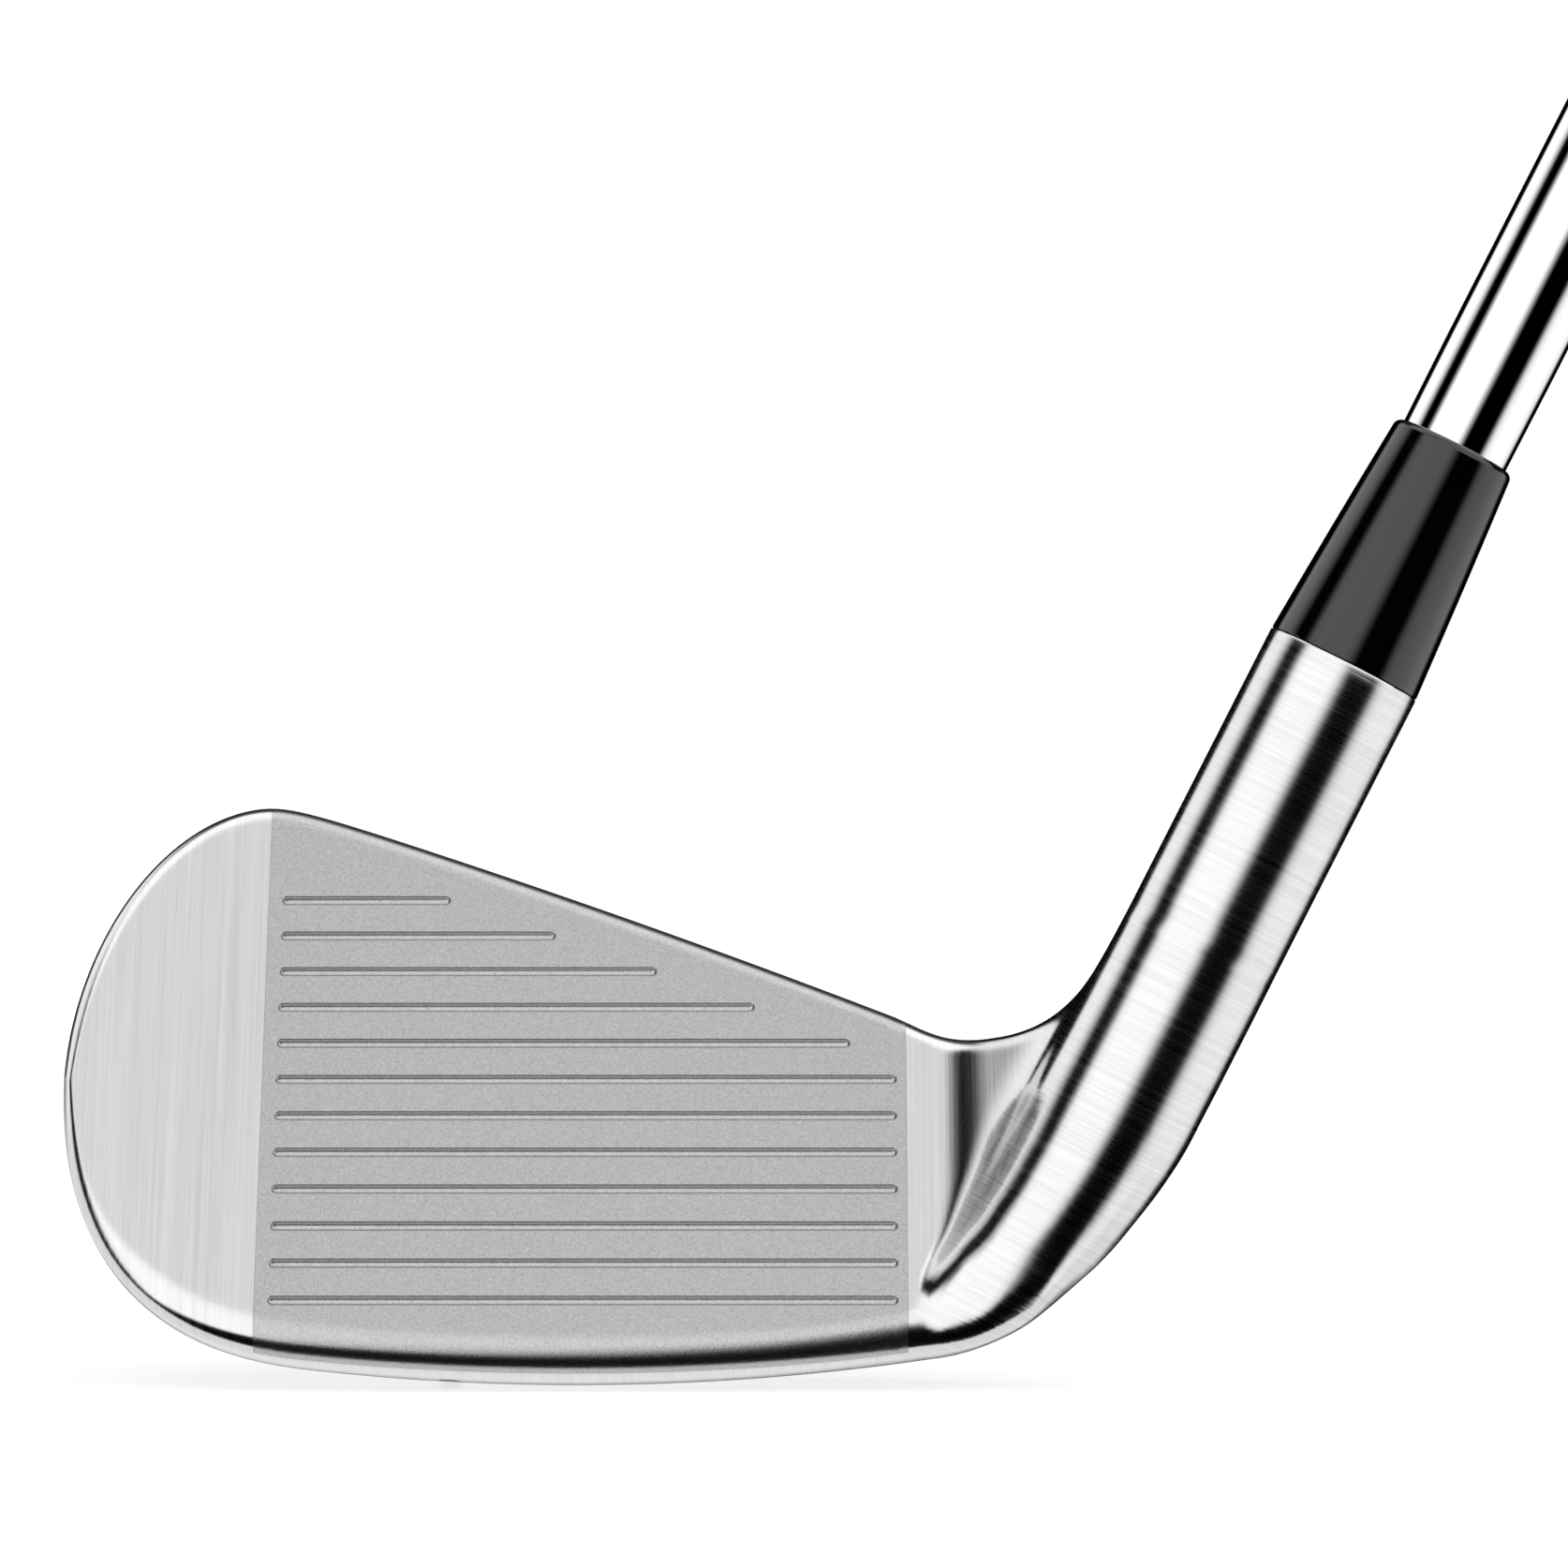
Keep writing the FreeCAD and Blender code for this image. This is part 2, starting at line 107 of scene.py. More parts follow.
def smooth_min(a, b, width):
    """The lower of two fields, joined by a hollow with no sudden change of curve."""
    reach = 1.5 * width
    near = np.maximum(reach - np.abs(a - b), 0) / reach
    return np.minimum(a, b) - near ** 3 * reach / 6


# ---------------------------------------------------------------- shape of the head

HEEL_BEND = np.array([
    (-10.0, -7.6, 4.0, 2.6), (0.0, -7.5, 3.9, 2.8), (10.0, -7.0, 4.2, 2.85), (20.0, -6.4, 4.9, 3.0),
    (28.5, -5.9, 6.7, 3.7), (34.9, -5.6, 9.4, 4.6), (39.6, -5.8, 13.9, 5.6), (42.7, -6.0, 18.4, 6.3),
    (45.2, -6.1, 22.7, 6.8), (47.3, -6.1, 26.7, 6.85), (50.03, -6.1, 32.0, 6.85), (55.0, -6.1, 41.8, 6.85),
    (60.0, -6.1, 51.6, 6.85)])


def smooth_through(points, steps):
    """A smooth line through points: cubic runs with even tangents."""
    points = np.asarray(points, float)
    ends = np.vstack([2 * points[0] - points[1], points, 2 * points[-1] - points[-2]])
    out = []
    for i in range(1, len(ends) - 2):
        p0, p1, p2, p3 = ends[i - 1:i + 3]
        u = np.linspace(0, 1, steps, endpoint=False)[:, None]
        out.append(0.5 * (2 * p1 + (p2 - p0) * u + (2 * p0 - 5 * p1 + 4 * p2 - p3) * u ** 2
                          + (3 * p1 - p0 - 3 * p2 + p3) * u ** 3))
    out.append(points[-1:])
    return np.vstack(out)


BEND = smooth_through(HEEL_BEND, 9)


def bend_field(p):
    """Distance outside the bent bar that carries the leading edge round the heel into the hosel."""
    near = np.linalg.norm(BEND[:-1, :3] - p.mean(0), axis=1) < 24.0
    a, b = BEND[:-1][near], BEND[1:][near]
    run = b[:, :3] - a[:, :3]
    length2 = (run ** 2).sum(1)
    rel = p[:, None, :] - a[None, :, :3]
    h = np.clip((rel * run).sum(2) / length2, 0, 1)
    away = np.linalg.norm(rel - h[..., None] * run, axis=2)
    return (away - (a[:, 3] + (b[:, 3] - a[:, 3]) * h)).min(1)


def sole_line(x):
    """The sole's lowest height at x, its slope, and how much of the height is the toe's curve."""
    heel = np.maximum(x - HEEL_START, 0)
    z = x * x / (2 * SOLE_ROCKER) + HEEL_LIFT * heel * heel
    slope = x / SOLE_ROCKER + 2 * HEEL_LIFT * heel
    u = np.clip((LOW_TOE_FROM - x) / LOW_TOE_REACH, 0, SHY_OF_ONE)
    power = LOW_TOE_FULLNESS
    inner = 1 - u ** power
    lift = LOW_TOE_LIFT * (1 - inner ** (1 / power))
    steep = LOW_TOE_LIFT * inner ** (1 / power - 1) * u ** (power - 1) / LOW_TOE_REACH
    return z + lift, slope - steep, lift


def top_line(x):
    """The topline's height up the face at x, and its slope."""
    cx, ct = TOE_CENTRE
    rx, rt = TOE_REACH
    w = np.maximum(x - cx, 0)
    heel = ease(x, 27.0, 36.0)
    rise = CROTCH_T + CROTCH_CURVE * np.clip(x - CROTCH_X, 0, 14.0) ** 2
    begun = 1 - np.exp(-w / TOPLINE_START)
    run = ct + rt - (TOPLINE_SLOPE * (w - TOPLINE_START * begun) + TOPLINE_SAG * w * w)
    slope = -(TOPLINE_SLOPE * begun + 2 * TOPLINE_SAG * w)
    run = run * (1 - heel) + rise * heel
    u = np.clip((cx - x) / rx, 0, SHY_OF_ONE)
    full = TOE_FULLNESS
    inner = 1 - u ** full
    arc = ct + rt * inner ** (1 / full)
    steep = rt * inner ** (1 / full - 1) * u ** (full - 1) / rx
    return np.where(x < cx, arc, run), np.where(x < cx, steep, slope)


SWEEP_FROM, SWEEP_TURN = 28.9, 6.0
BEHIND_HOSEL_FRONT = 4.0


def forward_sweep(x, z):
    """How far the blade bends forward towards the hosel's side, by x and height."""
    run = np.maximum(x - SWEEP_FROM, 0)
    steep = np.where(run < SWEEP_TURN, run * run / (2 * SWEEP_TURN), run - SWEEP_TURN / 2)
    shallow = 2.3 * ease(x, 29.3, 35.3) + 3.7 * ease(x, 36.0, 48.0)
    room = FACE_FOOT_Y + z * math.tan(LOFT) - SHAFT_FOOT[1] + BEHIND_HOSEL_FRONT
    ease_in = 0.02 + ease(x, 30.0, 37.0)
    limit = -smooth_min(-room, -shallow, 4.0 * ease_in)
    return smooth_min(steep, limit, 3.5 * ease_in) * ease(x, 28.2, 31.0)


HEEL_THINNING, TOE_THINNING = 0.5, 0.18
FACE_LEAN = 0.625            # near enough the tangent of the loft
TRAIL_ROUND = 1.3
HEEL_TRAIL_CUT, TOE_TRAIL_CUT = 4.6, 1.8
TRAIL_HEIGHT = 2.4
CREST_HOLLOW = 3.0
BACK_EDGE, BACK_EDGE_TRIM = 1.6, 0.3
BLADE_END, BLADE_END_SHIFT, BLADE_END_ROUND = 4.5, 5.5, 3.5


def blade_field(p):
    """Distance outside the blade, with its edges rounded."""
    x = p[:, 0]
    z = p[:, 2]
    y = p[:, 1] + forward_sweep(x, z)
    t = (y - FACE_FOOT_Y) * SIN_LOFT + z * COS_LOFT
    n = (y - FACE_FOOT_Y) * COS_LOFT - z * SIN_LOFT
    low, sole_slope, lift = sole_line(x)
    top, top_slope = top_line(x)
    heel = ease(x, 12.0, 46.0)
    toe = ease(-x, 20.0, 48.0)
    thin = 1 - HEEL_THINNING * heel - TOE_THINNING * toe
    shift = FACE_LEAN * lift

    face = -n
    sole = (np.hypot(y - shift, z - low - SOLE_CAMBER) - SOLE_CAMBER) / np.sqrt(1 + sole_slope ** 2)
    top = (t - top) / np.sqrt(1 + top_slope ** 2)
    lean = (BACK_TOP[1] - CREST[1] * thin) / (BACK_TOP[0] - CREST[0])
    upper = (n - CREST[1] * thin - lean * (t - CREST[0])) / np.hypot(1, lean)
    crest_y = FACE_FOOT_Y + CREST[0] * SIN_LOFT + CREST[1] * thin * COS_LOFT
    crest_z = CREST[0] * COS_LOFT - CREST[1] * thin * SIN_LOFT
    corner_y = TRAIL_Y + TRAIL_ROUND - HEEL_TRAIL_CUT * heel - TOE_TRAIL_CUT * toe + shift
    corner_z = low + TRAIL_HEIGHT
    tilt = (crest_y - corner_y) / np.maximum(crest_z - corner_z, 6.0)
    tilt = np.clip(tilt, -0.3, 0.8)
    lower = (y - crest_y - tilt * (z - crest_z)) / np.hypot(1, tilt)

    outline = np.maximum(top, sole)
    back = smooth_min(upper, lower, CREST_HOLLOW)
    high = ease(t, 12.0, 26.0)
    low_round = EDGE_RADIUS - 0.8 * ease(-x, 34.0, 44.0) + 0.0035 * np.clip(x - 15.0, 0, 20) ** 2
    front = rounded_max(face, outline, low_round + (RIM_RADIUS - low_round) * high)
    blade = np.maximum(front, rounded_max(back, outline, BACK_EDGE - BACK_EDGE_TRIM * high))
    beyond = (x - SHAFT_FOOT[0]) * math.sin(LIE) - z * math.cos(LIE)
    end = beyond - BLADE_END + BLADE_END_SHIFT * ease(z, 8.0, 28.0)
    return rounded_max(blade, end, BLADE_END_ROUND)


def head_field(p):
    """Distance outside the head: the blade, joined to the bent bar with a hollow."""
    blade = blade_field(p)
    x = p[:, 0]
    if x.max() < 12.0:
        return blade
    over = p[:, 2] - np.interp(x, BEND[:, 0], BEND[:, 2])
    width = 0.05 + ease(x, 24.0, 37.0) * (0.9 + 2.6 * ease(over, -3.0, 9.0))
    return smooth_min(blade, bend_field(p) + 3.0 * (1 - ease(x, 24.5, 33.0)), width)


def cast(centre, upward, angles):
    """Where rays in one section plane leave the head."""
    way = np.cos(angles)[:, None] * np.array([0.0, -1.0, 0.0]) + np.sin(angles)[:, None] * upward
    low = np.zeros(len(angles))
    high = np.full(len(angles), 64.0)
    for _ in range(9):
        middle = (low + high) / 2
        outside = head_field(centre + way * middle[:, None]) > 0
        high = np.where(outside, middle, high)
        low = np.where(outside, low, middle)
    f_low = head_field(centre + way * low[:, None])
    f_high = head_field(centre + way * high[:, None])
    for _ in range(7):
        guess = low + (high - low) * np.clip(-f_low / np.maximum(f_high - f_low, 1e-12), 0.02, 0.98)
        f = head_field(centre + way * guess[:, None])
        outside = f > 0
        high, f_high = np.where(outside, guess, high), np.where(outside, f, f_high)
        low, f_low = np.where(outside, low, guess), np.where(outside, f_low, f)
    return centre + way * ((low + high) / 2)[:, None]


TURN_WEIGHT = 6.0
EVEN_OVER = 15


def section(centre, upward, start):
    """One ring of the head's skin, closer together where it turns."""
    angles = start + np.linspace(0, 2 * math.pi, DENSE, endpoint=False)
    points = cast(centre, upward, angles)
    step = np.roll(points, -1, 0) - points
    length = np.linalg.norm(step, axis=1)
    way = step / np.maximum(length, 1e-9)[:, None]
    turn = np.arccos(np.clip((way * np.roll(way, 1, 0)).sum(1), -1, 1))
    weight = length + TURN_WEIGHT * turn
    wing = EVEN_OVER // 2
    kernel = np.ones(EVEN_OVER) / EVEN_OVER
    weight = np.convolve(np.concatenate([weight[-wing:], weight, weight[:wing]]), kernel, "valid")
    travelled = np.concatenate([[0], np.cumsum(weight)])
    wanted = np.linspace(0, travelled[-1], RING, endpoint=False)
    picked = np.interp(wanted, travelled, np.append(angles, angles[0] + 2 * math.pi))
    return cast(centre, upward, picked)


# Section planes of the neck: (x, z) at the crotch, (x, z) at the heel, y of the middle
NECK_PLANES = np.array([
    (28.0, 30.7, 28.0, 2.0, 0.6), (32.4, 29.6, 34.8, 3.7, -0.8), (36.0, 29.8, 41.7, 8.2, -2.6),
    (39.0, 30.7, 47.5, 14.2, -4.2), (41.8, 32.8, 51.8, 20.9, -5.4), (43.6, 35.6, 55.8, 29.4, -6.1),
    (46.1, 40.5, 58.3, 34.3, -6.1)])


TOE_RUN, TOE_RINGS = 20.4, 46
BLADE_STEP, BLADE_TO = 0.85, 28.0


def head_rings():
    """Rings from the toe, along the blade, round the heel, up the hosel and down its bore."""
    rings = []
    toe = TOE_X + 0.015 + TOE_RUN * (1 - np.cos(np.linspace(0, math.pi / 2, TOE_RINGS)))
    blade = np.arange(toe[-1] + 1.0, BLADE_TO, BLADE_STEP)
    upward = np.array([0.0, 0.0, 1.0])
    for x in np.concatenate([toe, blade]):
        low = float(sole_line(x)[0])
        top = float(top_line(x)[0])
        low_t = low / COS_LOFT + FACE_LEAN * 3 * SIN_LOFT
        middle = 0.5 * (low_t + top)
        depth = 3.6 + 0.6 * float(ease(x, -44.4, -30.0))
        rings.append(section(on_face(x, middle, depth), upward, LOFT))
    planes = smooth_through(NECK_PLANES, 14)
    for i, (x0, z0, x1, z1, y) in enumerate(planes):
        up = np.array([x0 - x1, 0.0, z0 - z1])
        up /= np.linalg.norm(up)
        centre = np.array([(x0 + x1) / 2, y, (z0 + z1) / 2])
        rings.append(section(centre, up, LOFT * (1 - i / (len(planes) - 1))))
    across = np.array([-math.sin(LIE), 0.0, math.cos(LIE)])
    angles = np.linspace(0, 2 * math.pi, RING, endpoint=False)
    circle = np.cos(angles)[:, None] * np.array([0.0, -1.0, 0.0]) + np.sin(angles)[:, None] * across
    outer = [(HOSEL_RADIUS, s) for s in np.linspace(ROUND_FROM, HOSEL_TOP - 0.18, 14)]
    lip = [(HOSEL_RADIUS - 0.05, HOSEL_TOP - 0.06), (HOSEL_RADIUS - 0.18, HOSEL_TOP)]
    bore = [(BORE_RADIUS + 0.3, HOSEL_TOP), (BORE_RADIUS, HOSEL_TOP - 0.3), (BORE_RADIUS, BORE_FLOOR)]
    for radius, s in outer + lip + bore:
        rings.append(on_axis(s) + circle * radius)
    return rings


def lofted(rings):
    """Faces through rings of equal count, both ends closed to a middle point."""
    count = len(rings[0])
    verts = np.vstack(rings + [rings[0].mean(0)[None], rings[-1].mean(0)[None]])
    faces = []
    for i in range(len(rings) - 1):
        a, b = i * count, (i + 1) * count
        faces += [(a + j, b + j, b + (j + 1) % count, a + (j + 1) % count) for j in range(count)]
    first, last = len(verts) - 2, len(verts) - 1
    end = (len(rings) - 1) * count
    faces += [(first, j, (j + 1) % count) for j in range(count)]
    faces += [(last, end + (j + 1) % count, end + j) for j in range(count)]
    return verts, faces


def piece(name, verts, faces, sharp=40.0):
    """A closed piece from points in millimetres, smooth but for its sharp edges."""
    mesh = bpy.data.meshes.new(name)
    mesh.from_pydata((np.asarray(verts) * MM).tolist(), [], faces)
    obj = bpy.data.objects.new(name, mesh)
    bpy.context.scene.collection.objects.link(obj)
    settle(obj, sharp)
    return obj


def settle(obj, sharp=40.0):
    """Merge doubles, turn faces outward and shade smooth between sharp edges."""
    work = bmesh.new()
    work.from_mesh(obj.data)
    bmesh.ops.remove_doubles(work, verts=work.verts, dist=1e-7)
    bmesh.ops.recalc_face_normals(work, faces=work.faces)
    work.to_mesh(obj.data)
    work.free()
    obj.data.polygons.foreach_set("use_smooth", [True] * len(obj.data.polygons))
    obj.data.set_sharp_from_angle(angle=math.radians(sharp))
    obj.data.update()


def cut(obj, tool, operation):
    """Exact cut, left as a plain mesh."""
    change = obj.modifiers.new("cut", "BOOLEAN")
    change.operation = operation
    change.solver = "EXACT"
    change.object = tool
    bpy.context.view_layer.update()
    shaped = bpy.data.meshes.new_from_object(obj.evaluated_get(bpy.context.evaluated_depsgraph_get()))
    obj.modifiers.remove(change)
    old = obj.data
    obj.data = shaped
    bpy.data.meshes.remove(old)
    bpy.data.objects.remove(tool)


def copied(obj, name):
    """A second object with its own copy of the mesh."""
    twin = bpy.data.objects.new(name, obj.data.copy())
    bpy.context.scene.collection.objects.link(twin)
    return twin


def flat_loops(loops):
    """A closed solid through outlines on the face: each is a list of (x, t, n)."""
    return lofted([np.array([on_face(*p) for p in loop]) for loop in loops])


def box_on_face(x0, x1, t0, t1, n0, n1):
    """A block square to the face."""
    outline = [(x0, t0), (x1, t0), (x1, t1), (x0, t1)]
    return flat_loops([[(x, t, n0) for x, t in outline], [(x, t, n1) for x, t in outline]])


def capsule(x0, x1, t, half):
    """A slot's outline with round ends."""
    steps = 14
    ends = []
    for centre, from_angle in ((x1, -90), (x0, 90)):
        for i in range(steps + 1):
            a = math.radians(from_angle + 180 * i / steps)
            ends.append((centre + half * math.cos(a), t + half * math.sin(a)))
    return ends


def rounded(points, radius, grow=0.0, steps=8):
    """A convex outline, grown outward, with round corners."""
    points = [np.array(p, float) for p in points]
    out = []
    for i, corner in enumerate(points):
        before = points[i - 1] - corner
        after = points[(i + 1) % len(points)] - corner
        before /= np.linalg.norm(before)
        after /= np.linalg.norm(after)
        half = math.acos(np.clip(before @ after, -1, 1)) / 2
        middle = (before + after) / np.linalg.norm(before + after)
        centre = corner + middle * (radius / math.sin(half))
        start = -(after - before * (after @ before))
        start /= np.linalg.norm(start)
        stop = -(before - after * (before @ after))
        stop /= np.linalg.norm(stop)
        for k in range(steps + 1):
            u = k / steps
            way = start * (1 - u) + stop * u
            way /= np.linalg.norm(way)
            out.append(centre + way * (radius + grow))
    return out


# ---------------------------------------------------------------- face, cavity and sole cuts

PLATE_TOE_X, PLATE_HEEL_X, PLATE_DEPTH = -27.2, 28.1, 2.35
SEAM = 0.02
LINE_COUNT, LINE_PITCH, LOWEST_LINE = 12, 3.588, 9.06
LINE_HALF, LINE_DEPTH = 0.40, 0.42
LINE_TOE_X = -26.0
LINE_HEEL_ENDS = [27.25] * 7 + [23.28, 15.05, 6.58, -2.23, -11.4]
CAVITY = [(-36.5, 30.5), (-35.0, 43.5), (-29.5, 52.0), (-24.0, 52.6), (21.0, 34.4), (22.5, 30.5)]
CAVITY_DEPTH, CAVITY_ROUND, CAVITY_FILLET, CAVITY_LIP = 3.2, 1.6, 0.7, 0.6
MARK_X, MARK_HALF, MARK_DEPTH = -10.8, 0.9, 0.45
MARK_FRONT_Y, MARK_BACK_Y = -4.7, 3.0
CUT_LOW, CUT_HIGH, CUT_FRONT = -14, 72, -3


def scorelines():
    """The tool that cuts the face's twelve round-bottomed lines."""
    verts, faces = [], []
    for i in range(LINE_COUNT):
        t = LOWEST_LINE + i * LINE_PITCH
        x0, x1 = LINE_TOE_X + LINE_HALF, LINE_HEEL_ENDS[i] - LINE_HALF
        levels = [(LINE_HALF + 0.10, -0.6), (LINE_HALF + 0.07, -0.01), (LINE_HALF + 0.02, 0.035)]
        for k in range(7):
            a = math.radians(12 + 78 * k / 7)
            levels.append((LINE_HALF * math.cos(a), LINE_DEPTH * math.sin(a) ** 0.9))
        levels.append((0.03, LINE_DEPTH))
        loops = [[(x, y, depth) for x, y in capsule(x0, x1, t, half)] for half, depth in levels]
        v, f = flat_loops(loops)
        faces += [tuple(k + len(verts) for k in face) for face in f]
        verts += list(v)
    return piece("score_tool", verts, faces)


def back_depth(t):
    """Depth of the blade's upper back behind the face."""
    return CREST[1] + (BACK_TOP[1] - CREST[1]) * (t - CREST[0]) / (BACK_TOP[0] - CREST[0])


def cavity_tool():
    """The tool that cuts the cavity, with a round at its floor and at its mouth."""
    levels = []
    for k in range(6):
        a = math.radians(90 * k / 5)
        levels.append((-CAVITY_FILLET * (1 - math.sin(a)), CAVITY_FILLET * (1 - math.cos(a)), False))
    for k in range(6):
        a = math.radians(90 * k / 5)
        levels.append((CAVITY_LIP * (1 - math.cos(a)), -CAVITY_LIP * (1 - math.sin(a)), True))
    levels.append((CAVITY_LIP + 1.5, 4.0, True))
    loops = []
    for grow, height, from_back in levels:
        outline = rounded(CAVITY, CAVITY_ROUND, grow)
        loops.append([(x, t, height + (back_depth(t) if from_back else CAVITY_DEPTH)) for x, t in outline])
    return piece("cavity_tool", *flat_loops(loops))


def mark_tool():
    """The tool that cuts the sole's plain slot, up from below."""
    camber = SOLE_CAMBER - math.sqrt(SOLE_CAMBER ** 2 - MARK_BACK_Y ** 2)
    top = camber + MARK_X ** 2 / (2 * SOLE_ROCKER) + MARK_DEPTH
    outline = [(x, y) for y, x in capsule(MARK_FRONT_Y, MARK_BACK_Y, MARK_X, MARK_HALF)]
    rings = [np.array([(x, y, z) for x, y in outline]) for z in (-2.0, top)]
    return piece("mark_tool", *lofted(rings))


def make_head():
    """The head and the face insert, cut from one skin so that their surfaces meet."""
    head = piece("head", *lofted(head_rings()), sharp=50.0)
    plate = copied(head, "face_insert")
    slab = box_on_face(PLATE_TOE_X, PLATE_HEEL_X, CUT_LOW, CUT_HIGH, CUT_FRONT, PLATE_DEPTH)
    cut(head, piece("slab", *slab), "DIFFERENCE")
    slab = box_on_face(PLATE_TOE_X + SEAM, PLATE_HEEL_X - SEAM, CUT_LOW, CUT_HIGH, CUT_FRONT,
                       PLATE_DEPTH - SEAM)
    cut(plate, piece("slab", *slab), "INTERSECT")
    cut(head, cavity_tool(), "DIFFERENCE")
    cut(head, mark_tool(), "DIFFERENCE")
    cut(plate, scorelines(), "DIFFERENCE")
    settle(head, 35.0)
    settle(plate, 35.0)
    return head, plate


def feed(tree, value, socket):
    """Link what another node gives, or set a plain value."""
    if isinstance(value, bpy.types.NodeSocket):
        tree.links.new(value, socket)
    else:
        socket.default_value = value


# ---------------------------------------------------------------- turned pieces

def turned(name, profile, segments=128, sharp=35.0):
    """Spin (radius, distance) points about the shaft's axis. The profile is a closed loop."""
    across = np.array([-math.sin(LIE), 0.0, math.cos(LIE)])
    forward = np.array([0.0, -1.0, 0.0])
    verts, faces = [], []
    for radius, s in profile:
        for k in range(segments):
            a = 2 * math.pi * k / segments
            verts.append(on_axis(s) + (forward * math.cos(a) + across * math.sin(a)) * radius)
    rows = len(profile)
    for i in range(rows):
        a, b = i * segments, ((i + 1) % rows) * segments
        faces += [(a + k, b + k, b + (k + 1) % segments, a + (k + 1) % segments) for k in range(segments)]
    return piece(name, verts, faces, sharp)


def shaft_radius(s):
    """Outer radius of the shaft: a taper at the tip, then twelve steps."""
    if s < TAPER_END:
        return TIP_RADIUS + (SLIM_RADIUS - TIP_RADIUS) * (s - SHAFT_TIP) / (TAPER_END - SHAFT_TIP)
    steps = min(max(math.floor((s - FIRST_STEP) / STEP_PITCH) + 1, 0), STEP_COUNT)
    return SLIM_RADIUS + (BUTT_RADIUS - SLIM_RADIUS) * steps / STEP_COUNT


def quarter(radius, s, size, steps=7):
    """A rounded outer corner that ends at radius and s."""
    out = []
    for i in range(steps + 1):
        a = math.radians(90 * i / steps)
        out.append((radius - size * (1 - math.cos(a)), s - size * (1 - math.sin(a))))
    return out


FERRULE_BASE, FERRULE_NECK, FERRULE_ROUND = 6.82, 5.5, 0.7
FERRULE_FOOT_ROUND = 0.14
SHAFT_WALL = 0.5
GRIP_MOUTH_RADIUS, GRIP_GAIN = 8.5, 4.4
VENT = 1.75
CAP_RADIUS, CAP_ROUND = 13.4, 1.6
BAND_START, BAND_LENGTH, BAND_THICKNESS = FIRST_STEP + (STEP_COUNT - 2) * STEP_PITCH + 6, 22, 0.12


def make_ferrule():
    """The plastic collar: a slight swell between a crisp foot and a rounded top."""
    base = FERRULE_BASE
    foot = HOSEL_TOP + 0.02
    start = foot + FERRULE_FOOT_ROUND
    outer = [(base - 0.12, foot), (base - 0.03, foot + 0.05), (base, start)]
    bulge = 0.04
    for i in range(1, 12):
        u = i / 12
        s = start + (FERRULE_TOP - FERRULE_ROUND - start) * u
        outer.append((base + (FERRULE_NECK - base) * u + bulge * math.sin(math.pi * u), s))
    outer += quarter(FERRULE_NECK, FERRULE_TOP, FERRULE_ROUND)
    inner = shaft_radius(FERRULE_TOP) + 0.01
    return turned("ferrule_sleeve", outer + [(inner, FERRULE_TOP - 0.02), (inner, foot)])


def make_shaft():
    """The steel tube, each step eased over 1.6."""
    outer = [(TIP_RADIUS, SHAFT_TIP), (SLIM_RADIUS, TAPER_END)]
    for i in range(STEP_COUNT):
        s = FIRST_STEP + i * STEP_PITCH
        low, high = shaft_radius(s - 1), shaft_radius(s + 1)
        for k in range(7):
            u = k / 6
            outer.append((low + (high - low) * u * u * (3 - 2 * u), s - 0.8 + 1.6 * u))
    outer.append((BUTT_RADIUS, BUTT_END))
    inner = [(r - SHAFT_WALL, s) for r, s in outer]
    return turned("shaft_tube", outer + inner[::-1])


GRIP_BANDS = (690.0, 770.0, 850.0)
TREAD_ROUND, TREAD_ROWS, TREAD_PITCH, TREAD_FROM = 24, 51, 4.8, 682.0
STUD = (4.0, 1.9, 0.42)


def grip_radius(s):
    """The grip's radius, which widens towards its end."""
    u = (s - GRIP_MOUTH) / (BUTT_END - GRIP_MOUTH)
    return GRIP_MOUTH_RADIUS + GRIP_GAIN * (0.75 * u + 0.25 * u ** 3)


def grip_skin(s):
    """Radius of the grip with its plain bands sunk a little between the studded zones."""
    return grip_radius(s) - 0.25 * float(band_share(s))


def band_share(s):
    """1 on a plain band of the grip, 0 away from it."""
    share = 0.0
    for middle in GRIP_BANDS:
        share = max(share, 1 - float(ease(abs(s - middle), 0.9, 1.4)))
    return share


def make_grip():
    """The rubber sleeve with its rounded mouth and plain bands."""
    mouth, end = GRIP_MOUTH, BUTT_END
    bore = BUTT_RADIUS + 0.15
    outer = [(BUTT_RADIUS + 0.02, mouth)]
    for k in range(1, 7):
        a = math.radians(15 * k)
        outer.append((8.1 + 0.4 * math.sin(a), mouth + 0.8 - 0.8 * math.cos(a)))
    marks = set(np.round(np.linspace(mouth + 2, end, 60), 2))
    for middle in GRIP_BANDS:
        marks.update(np.round(middle + np.array([-1.4, -1.25, -1.1, -0.9, 0.9, 1.1, 1.25, 1.4]), 2))
    outer += [(grip_skin(s), float(s)) for s in sorted(marks)]
    inner = [(bore, end), (bore, mouth + 6), (BUTT_RADIUS + 0.02, mouth + 6)]
    return turned("grip_sleeve", outer + inner, 96)


